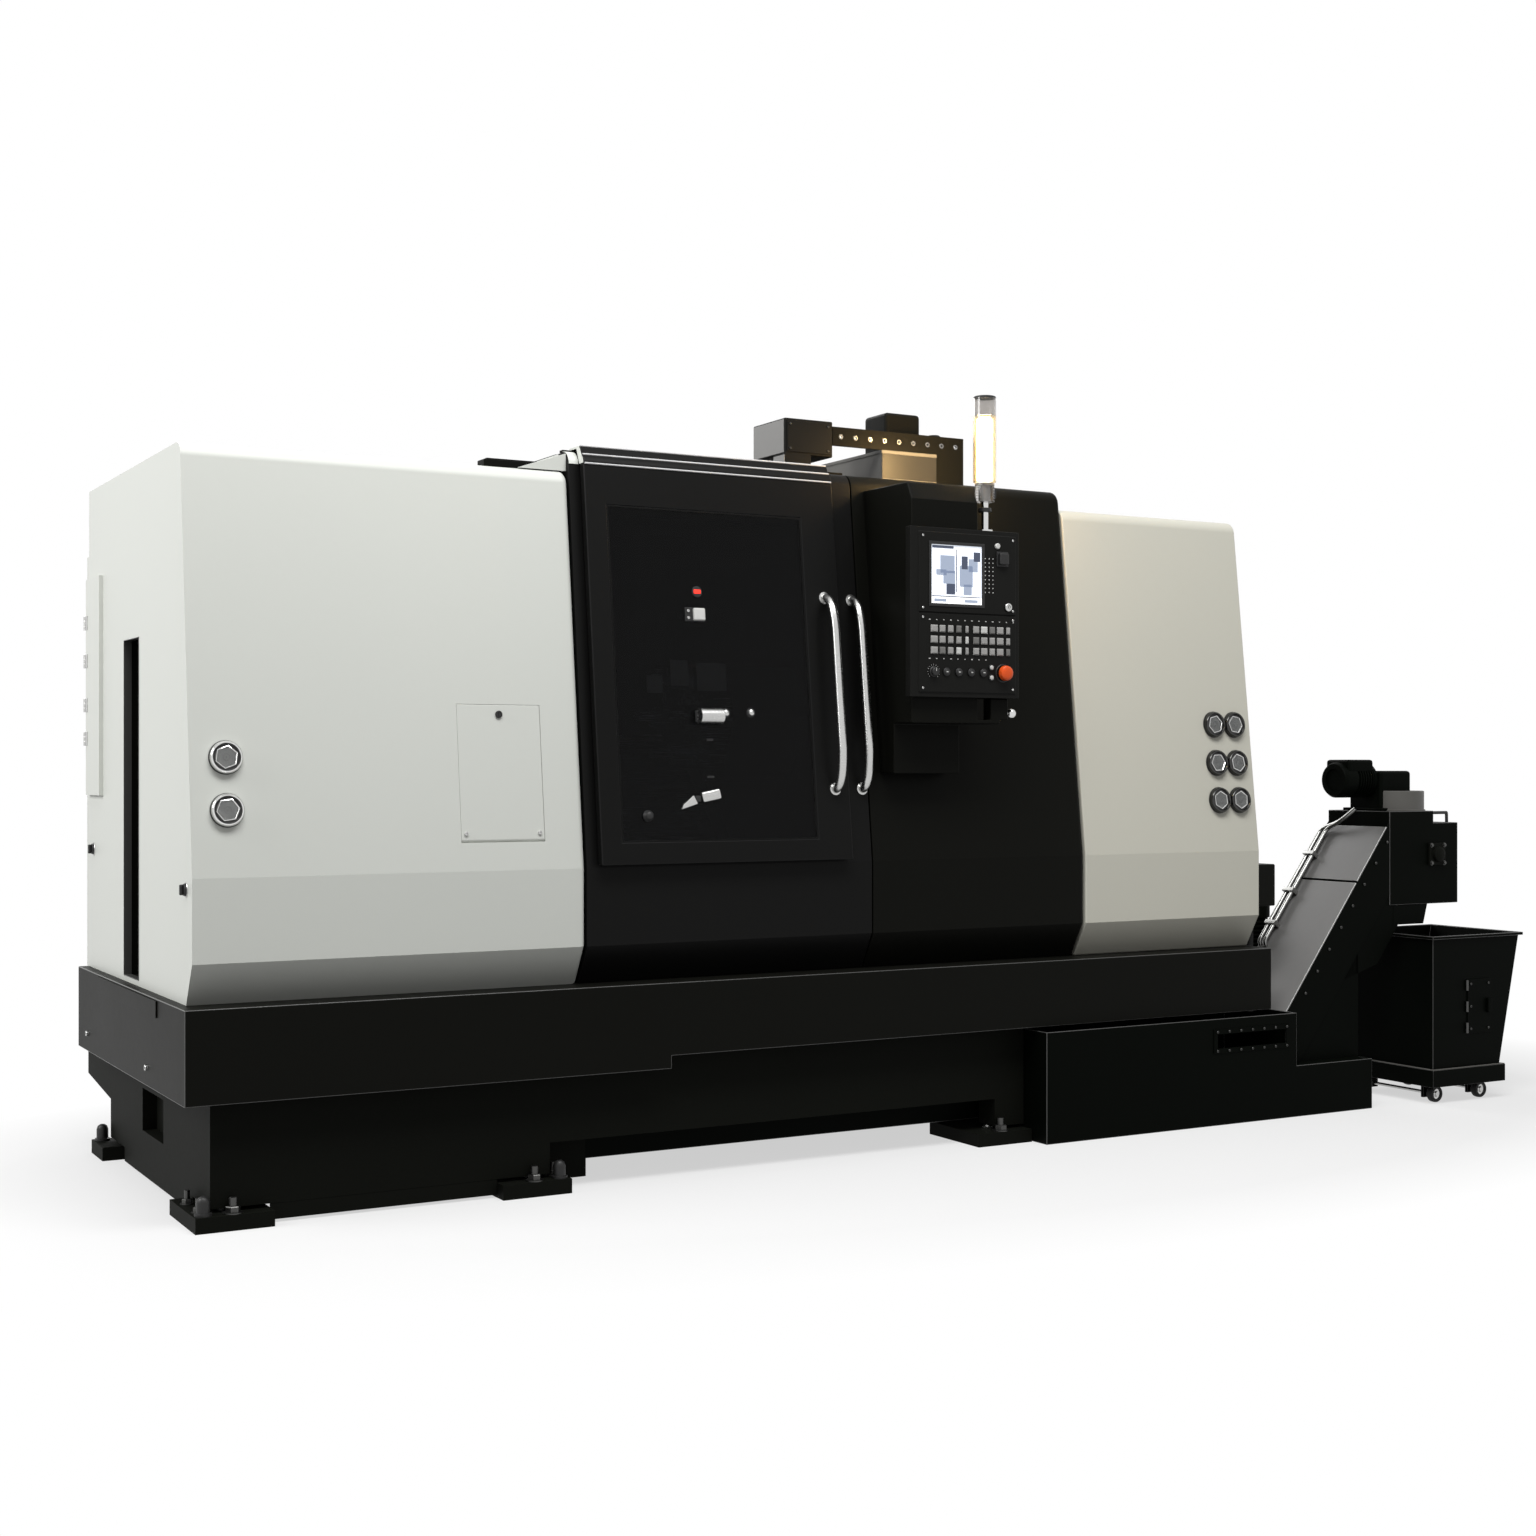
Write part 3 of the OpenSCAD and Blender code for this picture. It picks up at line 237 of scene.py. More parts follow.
# metal with fine marks drawn out along one axis
def metal(name, colour, rough, stretch=(1, 1, 1), depth=0.05, dark=0.82):
    kit = Finish(name, Metallic=1.0)
    marks = kit.noise(kit.place(stretch), 260.0, 3, 0.6)
    cloud = kit.noise(kit.place(), 7.0, 3)
    kit.set("Base Color", kit.blend(cloud, shade(colour, dark), colour))
    kit.set("Roughness", marks * 0.14 + cloud * 0.08 + (rough - 0.11))
    kit.bump(marks, depth, 0.0004)
    return kit.material


def moulded(name, colour, rough, peel=0.08, scale=900.0):
    kit = Finish(name, Specular_IOR_Level=0.35)
    spot = kit.place()
    cloud = kit.noise(spot, 24.0, 3)
    kit.set("Base Color", kit.blend(cloud, shade(colour, 0.9), shade(colour, 1.06)))
    kit.set("Roughness", cloud * 0.12 + (rough - 0.06))
    kit.bump(kit.noise(spot, scale, 2), peel, 0.0004)
    return kit.material


def lit(name, colour, strength, rim=0.75):
    kit = Finish(name, Roughness=0.25, Emission_Strength=strength)
    cloud = kit.noise(kit.place(), 18.0, 2)
    kit.set("Base Color", colour)
    kit.set("Emission Color", kit.blend(cloud, shade(colour, rim), colour))
    return kit.material


# see-through: tint, haze, and faint smears
def glass(name, tint, haze, spec=0.5, smear=5.0, bend=1.45):
    kit = Finish(name, Transmission_Weight=1.0, IOR=bend, Specular_IOR_Level=spec)
    kit.set("Base Color", tint)
    kit.set("Roughness", kit.noise(kit.place(), smear, 5, 0.6) * 0.06 + haze)
    return kit.material


finishes = {}


def addFinish(make, name, *values, **more):
    finishes[name] = make(name, *values, **more)


addFinish(paint, "coverPaint", (0.615, 0.630, 0.590), 0.42, 0.35, peel=0.06, drift=0.025)
addFinish(paint, "endPaint", (0.585, 0.575, 0.500), 0.42, 0.35, peel=0.06, drift=0.025)
addFinish(paint, "blackPaint", (0.0046, 0.0047, 0.0037), 0.44, 0.045, drift=0.18)
addFinish(paint, "doorPaint", (0.0058, 0.0058, 0.0056), 0.38, 0.07, peel=0.05, drift=0.15)
addFinish(paint, "castPaint", (0.0044, 0.0048, 0.0036), 0.62, 0.045, peel=0.30, drift=0.22, scale=150.0)
addFinish(worn, "workBlack", (0.0014, 0.0020, 0.0013), 0.50, amount=0.71)
addFinish(paint, "greySheet", (0.105, 0.102, 0.094), 0.48, 0.30, drift=0.10)
addFinish(paint, "plateSheet", (0.205, 0.202, 0.196), 0.34, 0.55, drift=0.14, scale=240.0)
# conveyor covers: painted light, darker high up and paler low down
addFinish(paint, "trunkSheet", (0.135, 0.133, 0.130), 0.40, 0.35, drift=0.45, scale=240.0, fade=(0.95, 0.40))
addFinish(paint, "panelSheet", (0.0075, 0.0075, 0.0068), 0.42, 0.08, drift=0.14)
# painted highlight: a paler grey laid on rounded folds and on the slot's jambs for the light that falls on
# them
addFinish(paint, "foldSheen", (0.060, 0.060, 0.058), 0.30, 0.45, drift=0.12)
# painted highlight: a slightly paler black for the light lines along the door leaf's rounded edges
addFinish(paint, "doorFold", (0.010, 0.010, 0.010), 0.32, 0.09, drift=0.12)
addFinish(paint, "duskSheet", (0.022, 0.022, 0.021), 0.36, 0.14, drift=0.12)
# painted highlight: pale plastic for rods that stand for light lines on the door's rounded top
addFinish(moulded, "stripPale", (0.60, 0.60, 0.61), 0.35, peel=0.02)
addFinish(metal, "iron", (0.30, 0.31, 0.32), 0.42, depth=0.12)
addFinish(metal, "darkSteel", (0.085, 0.085, 0.082), 0.36, depth=0.06)
addFinish(metal, "zinc", (0.33, 0.33, 0.32), 0.27, depth=0.03)
addFinish(metal, "steel", (0.62, 0.63, 0.64), 0.26, stretch=(0.05, 1, 1))
# bare steel on rubbed edges, kept bright also as a painted highlight along the folds of the covers
addFinish(metal, "rubbedEdge", (0.42, 0.42, 0.41), 0.42, depth=0.15, dark=0.6)
addFinish(metal, "chrome", (0.68, 0.68, 0.67), 0.12, depth=0.01, dark=0.92)
# painted reflection: a dark copy of chrome for the right-hand gauges, standing in for the dark surroundings
# they reflect
addFinish(metal, "darkChrome", (0.060, 0.060, 0.058), 0.14, depth=0.01, dark=0.85)
addFinish(metal, "satinChrome", (0.56, 0.56, 0.55), 0.26, depth=0.02, dark=0.88)
addFinish(moulded, "darkPlastic", (0.012, 0.012, 0.012), 0.45)
addFinish(moulded, "greyPlastic", (0.34, 0.335, 0.325), 0.5)
addFinish(moulded, "midPlastic", (0.16, 0.157, 0.150), 0.5)
addFinish(moulded, "palePlastic", (0.62, 0.62, 0.60), 0.4)
addFinish(moulded, "stopRed", (0.72, 0.085, 0.010), 0.32, peel=0.02)
addFinish(moulded, "amberPlastic", (0.70, 0.40, 0.03), 0.35, peel=0.02)
addFinish(moulded, "rubber", (0.0060, 0.0060, 0.0058), 0.75, peel=0.3, scale=600.0)
addFinish(moulded, "dialFace", (0.150, 0.146, 0.140), 0.30, peel=0.02)
# painted shade: a darker copy of the dial face for the right-hand gauges
addFinish(moulded, "dialDark", (0.060, 0.060, 0.056), 0.30, peel=0.02)
addFinish(glass, "tintedGlass", (0.10, 0.105, 0.115), 0.0, 0.2, bend=1.185)
addFinish(glass, "clearGlass", (0.93, 0.95, 0.95), 0.0, 0.5, 30.0)
addFinish(glass, "smokeLens", (0.62, 0.60, 0.58), 0.10, 0.5, 20.0)
addFinish(glass, "amberLens", (1.0, 0.84, 0.56), 0.16, 0.4, 20.0)
addFinish(lit, "redLamp", (0.9, 0.03, 0.015), 1.2)
addFinish(lit, "lampGlow", (1.0, 0.80, 0.50), 16.0, 0.94)
addFinish(lit, "screenPale", (0.72, 0.76, 0.84), 0.80, 0.96)
addFinish(lit, "screenWhite", (0.93, 0.94, 0.94), 0.9, 0.97)
addFinish(lit, "screenBlue", (0.035, 0.045, 0.075), 0.8, 0.9)
addFinish(lit, "screenGrey", (0.24, 0.28, 0.36), 0.8, 0.9)
print("finishes:", len(finishes))


# a bmesh that grows by placed solids
class Shape:
    def __init__(self):
        self.bm = bmesh.new()

    def take(self, part, place):
        bmesh.ops.transform(part, matrix=place, verts=part.verts)
        bmesh.ops.recalc_face_normals(part, faces=part.faces)
        carrier = bpy.data.meshes.new("carrier")
        part.to_mesh(carrier)
        part.free()
        self.bm.from_mesh(carrier)
        bpy.data.meshes.remove(carrier)

    def soften(self, part, edge, steps=2):
        bmesh.ops.bevel(part, geom=part.edges[:], offset=edge, segments=steps, profile=0.5, affect="EDGES",
                        material=-1, clamp_overlap=True)

    # a block centred on the place, standing on local z = 0
    def block(self, size, place, edge=0.001, steps=2):
        part = bmesh.new()
        bmesh.ops.create_cube(part, size=1.0)
        bmesh.ops.scale(part, vec=size, verts=part.verts)
        bmesh.ops.translate(part, vec=(0, 0, size[2] / 2), verts=part.verts)
        self.soften(part, min(edge, min(size) * 0.45), steps)
        self.take(part, place)

    # a block between two corners
    def span(self, low, high, edge=0.001, steps=2):
        size = Vector(high) - Vector(low)
        self.block(size, move((low[0] + high[0]) / 2, (low[1] + high[1]) / 2, low[2]), edge, steps)

    # four bars round a window of the given size
    def border(self, width, height, bar, depth, place, edge=0.001):
        for side in (-1, 1):
            self.block((width + 2 * bar, bar, depth), place @ move(0, side * (height + bar) / 2, 0), edge)
            self.block((bar, height, depth), place @ move(side * (width + bar) / 2, 0, 0), edge)

    # an outline of (x, y) points drawn out along local z
    def plate(self, outline, depth, place, edge=0.0006):
        part = bmesh.new()
        face = part.faces.new([part.verts.new((x, y, 0)) for x, y in outline])
        grown = bmesh.ops.extrude_face_region(part, geom=[face])["geom"]
        raised = [v for v in grown if isinstance(v, bmesh.types.BMVert)]
        bmesh.ops.translate(part, vec=(0, 0, depth), verts=raised)
        bmesh.ops.holes_fill(part, edges=part.edges[:], sides=0)
        bmesh.ops.recalc_face_normals(part, faces=part.faces)
        self.soften(part, edge)
        self.take(part, place)

    # a profile of (radius, height) points turned about local z
    def turned(self, profile, place, sides=48):
        part = bmesh.new()
        points = [part.verts.new((r, 0, z)) for r, z in profile]
        edges = [part.edges.new(pair) for pair in zip(points, points[1:])]
        bmesh.ops.spin(part, geom=points + edges, cent=(0, 0, 0), axis=(0, 0, 1), angle=2 * math.pi,
                       steps=sides, use_merge=True)
        bmesh.ops.remove_doubles(part, verts=part.verts, dist=1e-6)
        self.take(part, place)

    def drum(self, radius, depth, place, edge=0.001, sides=48):
        self.turned([(0, 0), (radius, 0), (radius, depth - edge), (radius - edge * 0.3, depth - edge * 0.3),
                     (radius - edge, depth), (0, depth)], place, sides)

    # a tube with an open bore
    def sleeve(self, outer, inner, depth, place, edge=0.001, sides=48):
        self.turned([(inner, 0), (outer - edge, 0), (outer, edge), (outer, depth - edge),
                     (outer - edge, depth), (inner, depth), (inner, 0)], place, sides)

    # a straight round rod between two points
    def rod(self, start, end, radius, edge=0.0006, sides=24):
        way = Vector(end) - Vector(start)
        self.drum(radius, way.length,
                  Matrix.Translation(start) @ way.to_track_quat("Z", "Y").to_matrix().to_4x4(), edge, sides)

    # a screw with a hexagon socket
    def screw(self, radius, place):
        self.turned([(0, 0), (radius, 0), (radius, radius * 0.7), (radius * 0.85, radius * 0.85),
                     (radius * 0.5, radius * 0.85)], place, 20)
        self.turned([(radius * 0.5, radius * 0.85), (radius * 0.5, radius * 0.35), (0, radius * 0.35)],
                    place, 6)

    # a nut of six sides on a washer, with a stud through it
    def nut(self, radius, depth, place, stud=0.0):
        self.drum(radius * 1.35, depth * 0.16, place, depth * 0.03, 28)
        self.turned([(0, 0), (radius, 0), (radius, depth * 0.88), (radius * 0.9, depth), (0, depth)],
                    place, 6)
        if stud:
            self.drum(radius * 0.55, depth + stud, place, radius * 0.08, 20)

    # a round rod bent along points
    def bent(self, points, radius):
        line = bpy.data.curves.new("bentRod", "CURVE")
        line.dimensions = "3D"
        line.bevel_depth = radius
        line.bevel_resolution = 5
        line.resolution_u = 8
        line.use_fill_caps = True
        spline = line.splines.new("NURBS")
        spline.points.add(len(points) - 1)
        for spot, point in zip(spline.points, points):
            spot.co = (*point, 1.0)
        spline.order_u = 3
        spline.use_endpoint_u = True
        rod = bpy.data.objects.new("bentRod", line)
        mesh = bpy.data.meshes.new_from_object(rod)
        part = bmesh.new()
        part.from_mesh(mesh)
        bmesh.ops.remove_doubles(part, verts=part.verts, dist=1e-6)
        bpy.data.objects.remove(rod)
        bpy.data.curves.remove(line)
        bpy.data.meshes.remove(mesh)
        self.take(part, Matrix.Identity(4))


# long folds stay crisp, the small steps of a round edge are smoothed
def shadeEdges(bm):
    for face in bm.faces:
        face.smooth = True
    for edge in bm.edges:
        if len(edge.link_faces) != 2:
            continue
        angle = edge.calc_face_angle(0.0)
        length = max(edge.calc_length(), 1e-6)
        wide = min(face.calc_area() / length for face in edge.link_faces)
        edge.smooth = angle < math.radians(36) and not (angle > math.radians(3) and wide > 0.028)


# finishes grouped under the slots they would go with; the mapping made from each group is not kept
for slot, group in {
    "amber_lens": ["amberPlastic"],
    "base_paint": ["castPaint"],
    "belt_rubber": ["rubber"],
    "black_paint": ["blackPaint", "doorPaint", "foldSheen", "workBlack"],
    "bright_chrome": ["satinChrome"],
    "cover_paint": ["coverPaint", "endPaint"],
    "dark_glass": ["clearGlass"],
    "grey_sheet": ["duskSheet", "greySheet", "panelSheet", "plateSheet"],
    "ground_steel": ["darkSteel", "steel", "zinc"],
    "key_plastic": ["dialDark", "dialFace", "greyPlastic", "palePlastic", "smokeLens", "stripPale"],
    "knob_plastic": ["darkPlastic"],
    "stop_red": ["redLamp", "stopRed"],
}.items():
    dict.fromkeys(group, slot)

pieces = []


def piece(name, shape, finish, body="machine", stands=()):
    bm = shape.bm
    shadeEdges(bm)
    mesh = bpy.data.meshes.new(name)
    bm.to_mesh(mesh)
    bm.free()
    for each in (finish,) if isinstance(finish, str) else finish:
        mesh.materials.append(finishes[each])
    made = bpy.data.objects.new(name, mesh)
    bpy.context.scene.collection.objects.link(made)
    even = made.modifiers.new("evenNormals", "WEIGHTED_NORMAL")
    even.keep_sharp = True
    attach(made, body)
    if stands:
        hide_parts(*stands)
    pieces.append(name)


# a piece that stands for a node, on the node's body, with the node hidden
def standIn(node, shape, finish):
    piece(node + ".dressed", shape, finish, bodyOf[node], [node])


# a copy of a node whose edges are rounded as folded sheet and castings are
def softened(node, finish, edge, wideEnd=None, wideEdge=0.0, secondFrom=None):
    shape = Shape()
    bm = shape.bm
    bm.from_mesh(frame["nodes"][node].data)
    bmesh.ops.remove_doubles(bm, verts=bm.verts, dist=1e-5)
    bmesh.ops.dissolve_limit(bm, angle_limit=math.radians(0.6), verts=bm.verts, edges=bm.edges)

    def corners(limit):
        return [e for e in bm.edges if len(e.link_faces) == 2
                and e.calc_face_angle(0.0) > math.radians(limit)]

    if wideEnd is not None:
        ends = [e for e in corners(50) if all(abs(v.co.x - wideEnd) < 1e-4 for v in e.verts)
                and any(abs(f.normal.x) < 0.2 and f.normal.y < 0.5 and f.normal.dot(Vector((0, 0.8, 1.2)) -
                        f.calc_center_median()) < 0 for f in e.link_faces)]
        bmesh.ops.bevel(bm, geom=ends, offset=wideEdge, segments=5, profile=0.5, affect="EDGES", material=-1,
                        clamp_overlap=True)
    fold = bmesh.ops.bevel(bm, geom=corners(40), offset=edge, segments=3, profile=0.5, affect="EDGES",
                           material=-1, clamp_overlap=True)
    # without a split, the second finish goes on the rounded edges alone: a paler paint as a painted highlight
    # along the folds
    if secondFrom is not None:
        for face in bm.faces:
            face.material_index = int(face.calc_center_median().x > secondFrom)
    elif not isinstance(finish, str):
        for face in fold["faces"]:  # the second finish is for the rounded edges alone
            face.material_index = 1
    standIn(node, shape, finish)


# nodes that keep their form and get a finish and rounded edges; a second finish goes on the rounded edges as
# a painted highlight (on the conveyor covers bare rubbed steel as well), or, on the tailstock cover, on the
# black guard
dressed = {
    "headstock_cover": ("coverPaint", 0.005),
    "tailstock_cover": (("endPaint", "blackPaint"), 0.005),
    "hatch": ("coverPaint", 0.0022),
    "door_frame": ("doorPaint", 0.003),
    "front_panel": ("blackPaint", 0.004),
    "door_panel": (("doorPaint", "doorFold"), 0.003),
    "drip_pan": (("blackPaint", "foldSheen"), 0.002),
    "base_casting": ("castPaint", 0.006),
    "levelling_pads": ("castPaint", 0.003),
    "slot_channel": ("blackPaint", 0.002),
    "console_duct": ("blackPaint", 0.004),
    "console_box": ("panelSheet", 0.002),
    "roof_box": ("greySheet", 0.004),
    "roof_bracket": ("blackPaint", 0.001),
    "roof_housing": ("panelSheet", 0.004),
    "roof_motor": ("blackPaint", 0.012),
    "rear_cabinet": ("coverPaint", 0.004),
    "cabinet_door": ("coverPaint", 0.004),
    "conveyor_tank": (("workBlack", "foldSheen"), 0.002),
    "conveyor_trunk": ("workBlack", 0.001),
    "conveyor_covers": (("trunkSheet", "rubbedEdge"), 0.0014),
    "conveyor_head": (("workBlack", "foldSheen"), 0.0022),
    "cart_dolly": (("workBlack", "foldSheen"), 0.002),
    "cart_bin": (("workBlack", "foldSheen"), 0.0014),
    "saddle": ("iron", 0.004),
    "turret_slide": ("iron", 0.006),
    "headstock": ("castPaint", 0.006),
    "tailstock": ("iron", 0.006),
}
wideEnds = {
    "headstock_cover": (coverHigh.x, 0.022),
    "front_panel": (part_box("front_panel")[1].x, 0.016),
}
guardFrom = {"tailstock_cover": panHigh.x - 0.0075}
for node, (finish, edge) in dressed.items():
    endX, endEdge = wideEnds.get(node, (None, 0.0))
    softened(node, finish, edge, wideEnd=endX, wideEdge=endEdge, secondFrom=guardFrom.get(node))
print("dressed:", len(dressed))

# nodes that keep their own mesh and get a finish
plain = {
    "blackPaint": ["enclosure"],
    "castPaint": ["spindle_motor"],
    "iron": ["slant_bed"],
    "steel": ["spindle", "chuck", "jaw_1", "jaw_2", "jaw_3", "quill", "motor_pulley", "turret_disc"],
    "tintedGlass": ["door_window"],
    "rubber": ["drive_belt"],
    "chrome": ["signal_pole", "levelling_screws"],
}
for finish, nodes in plain.items():
    for node in nodes:
        materials = frame["nodes"][node].data.materials
        materials.clear()
        materials.append(finishes[finish])


# left end: hinges of the access panel, jambs of the slot, and the two quarter-turn latches
leftEnd = {
    "hingeHeights": (1.244, 1.345, 1.477, 1.591),
    "hinge": (0.0055, 0.042), "hingeIn": 0.005, "leaf": (0.030, 0.0022, 0.018),
    "slot": (0.186, 0.940), "slotMiddle": (0.724, 1.045),
    "latch": (0.0165, 0.008, 0.027),
}


def makeLeftEnd():
    radius, length = leftEnd["hinge"]
    hinges = Shape()
    wide, thick, off = leftEnd["leaf"]
    y = coverHigh.y - leftEnd["hingeIn"]
    for z in leftEnd["hingeHeights"]:
        for part in (-1, 0, 1):
            at = z + part * length / 3
            hinges.rod((coverLow.x, y, at - length / 6.4), (coverLow.x, y, at + length / 6.4), radius)
        hinges.block((wide, length, thick), onLeft(coverLow.x, y - off, z), 0.0008)
    piece("accessHinges", hinges, "satinChrome")

    jambs = Shape()
    deep, tall = leftEnd["slot"]
    middle = panLow.y + leftEnd["slotMiddle"][0]
    jambs.border(deep - 0.004, tall - 0.004, 0.002, 0.022,
                 onLeft(leftX + 0.0205, middle, leftEnd["slotMiddle"][1]), 0.0006)
    # the jambs take the painted sheen, a paler grey for the light falling inside the slot
    piece("slotJambs", jambs, "foldSheen")

    wide, thick, grip = leftEnd["latch"]
    for node in ("end_latch_front", "end_latch_rear"):
        low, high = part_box(node)
        spot = onLeft(high.x, *mid(low, high)[1:])
        latch = Shape()
        latch.turned([(0, 0), (wide, 0), (wide, 0.003), (wide - 0.0012, 0.0048),
                      (wide - 0.002, thick - 0.0006), (wide * 0.6, thick), (0, thick)], spot, 40)
        standIn(node, latch, "darkPlastic")
        handle, ring = Shape(), Shape()
        handle.block((0.0105, grip, 0.0095), spot @ move(0, 0, thick - 0.0005), 0.0032, 3)
        piece(node + ".grip", handle, "darkPlastic", node)
        ring.sleeve(wide + 0.0032, wide + 0.0004, 0.0022, spot, 0.0007, 40)
        piece(node + ".ring", ring, "satinChrome")


makeLeftEnd()

# hatch: its screws and its lock
hatchParts = {"screw": 0.0055, "screwIn": (0.014, 0.024)}


def makeHatchParts():
    low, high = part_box("hatch")
    inX, inZ = hatchParts["screwIn"]
    screws = Shape()
    for x in (low.x + inX, high.x - inX):
        screws.screw(hatchParts["screw"], onFace(x, low.z + inZ))
    piece("hatchScrews", screws, "satinChrome", "hatch")
    low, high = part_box("hatch_lock")
    x, _, z = mid(low, high)
    spot = onFace(x, z)
    lock = Shape()
    lock.turned([(0, 0), (0.0095, 0), (0.0100, 0.001), (0.0100, 0.004), (0.0088, 0.0058), (0.0066, 0.006),
                 (0.0060, 0.0045), (0, 0.0045)], spot, 36)
    lock.block((0.0026, 0.0105, 0.0024), spot @ move(0, 0, 0.0043), 0.0006)
    standIn("hatch_lock", lock, "darkPlastic")


makeHatchParts()

# gauges: a bevelled ring over a black gasket ring that also paints the shadow line round it, a six-sided
# inner ring, and a marked face under glass; the right-hand gauges take dark copies of the chrome and the
# face, a painted reflection of dark surroundings and painted shade
gauge = {
    "ring": 0.042,
    "rows": {"left": (0.169, 0.302), "right": (0.169, 0.292, 0.419)},
    "columnStep": 0.087,
    "hexTurns": (8, 21, 33, 2, 14, 27, 40, 51),
}


def makeGauges():
    low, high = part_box("gauges")
    ring = gauge["ring"]
    left = [(low.x + ring, creaseZ + z) for z in gauge["rows"]["left"]]
    right = [(x, creaseZ + z) for x in (high.x - ring - gauge["columnStep"], high.x - ring)
             for z in gauge["rows"]["right"]]
    shadowRings, inner, marks, glasses = (Shape() for _ in range(4))
    bezels, faces = {"left": Shape(), "right": Shape()}, {"left": Shape(), "right": Shape()}
    for i, (x, z) in enumerate(left + right):
        side = "left" if i < len(left) else "right"
        spot = onFace(x, z)
        # a black gasket ring just wider than the bezel, which also paints the shadow line round it
        shadowRings.turned([(ring - 0.014, 0), (ring + 0.0016, 0), (ring + 0.0016, 0.0030),
                        (ring - 0.001, 0.0034), (ring - 0.0090, 0.0110), (ring - 0.0125, 0.0105),
                        (ring - 0.014, 0.0085)], spot, 64)
        bezels[side].turned([(ring - 0.0088, 0.0020), (ring - 0.0004, 0.0020), (ring, 0.0040), (ring, 0.0095),
                             (ring - 0.0014, 0.0140), (ring - 0.0036, 0.0160), (ring - 0.0062, 0.0154),
                             (ring - 0.0080, 0.0125), (ring - 0.0088, 0.0100)], spot, 64)
        inner.turned([(ring - 0.0118, 0.0085), (ring - 0.0118, 0.0128), (ring - 0.0135, 0.0136),
                      (ring - 0.0150, 0.0120), (ring - 0.0150, 0.0085)],
                     spot @ turn(gauge["hexTurns"][i], "Z"), 6)
        faces[side].turned([(0, 0.0092), (ring - 0.0128, 0.0092), (ring - 0.0128, 0.006)], spot, 64)
        marks.sleeve(0.0092, 0.0083, 0.0004, spot @ move(0, 0, 0.0092), 0.0001, 40)
        marks.drum(0.0016, 0.0005, spot @ move(0, 0, 0.0092), 0.0001, 16)
        glasses.turned([(0, 0.0118), (ring * 0.4, 0.0117), (ring - 0.0160, 0.0112), (ring - 0.0160, 0.0100),
                        (ring * 0.4, 0.0104), (0, 0.0105)], spot, 48)
    piece("gaugeRings", bezels["left"], "chrome")
    # the right-hand bezels and faces take the shaded copies: painted reflection and shade
    piece("gaugeBezels", bezels["right"], "darkChrome", stands=["gauges"])
    piece("gaugeInner", inner, "chrome")
    piece("gaugeShadowRings", shadowRings, "darkPlastic")
    piece("gaugeFaces", faces["left"], "dialFace")
    piece("gaugeShadedFaces", faces["right"], "dialDark")
    piece("gaugeMarks", marks, "darkPlastic")
    piece("gaugeGlasses", glasses, "clearGlass")


makeGauges()
print("ends: latches, hatch and", len(gauge["hexTurns"]), "gauges")

# pan: the folded lip on its left end and its screws
panParts = {"lip": (0.290, 1.020, 0.511, 0.555), "screws": ((0.402, 0.370), (1.162, 0.374)), "screw": 0.008}


def makePanParts():
    near, far, low, high = panParts["lip"]
    lip = Shape()
    lip.block((far - near, high - low, 0.004),
              onLeft(panLow.x, panLow.y + (near + far) / 2, (low + high) / 2), 0.0015)
    piece("panLip", lip, "blackPaint")
    screws = Shape()
    for y, z in panParts["screws"]:
        screws.screw(panParts["screw"], onLeft(panLow.x, panLow.y + y, z))
    piece("panScrews", screws, "satinChrome")


makePanParts()

# floor fixings: anchor nuts on the pads, jacking posts with studs, and skirts and a plate under the base
fixings = {
    "nut": (0.019, 0.018), "stud": 0.022, "post": (0.017, 0.048), "postIn": 0.028,
    "sideStuds": (0.075, 0.190), "sideIn": 0.021, "pedestal": 0.923,
    # skirts: reach of the long ones, place of the rear one, reach of the one at the end, foot
    "skirts": (0.233, 0.850), "rearSkirt": 1.234, "endSkirt": (0.250, 1.050), "skirtFoot": 0.008,
    # plate in the arch: in from the tank's front, foot, top, thickness
    "archPlate": (0.215, 0.010, 0.138, 0.004),
}


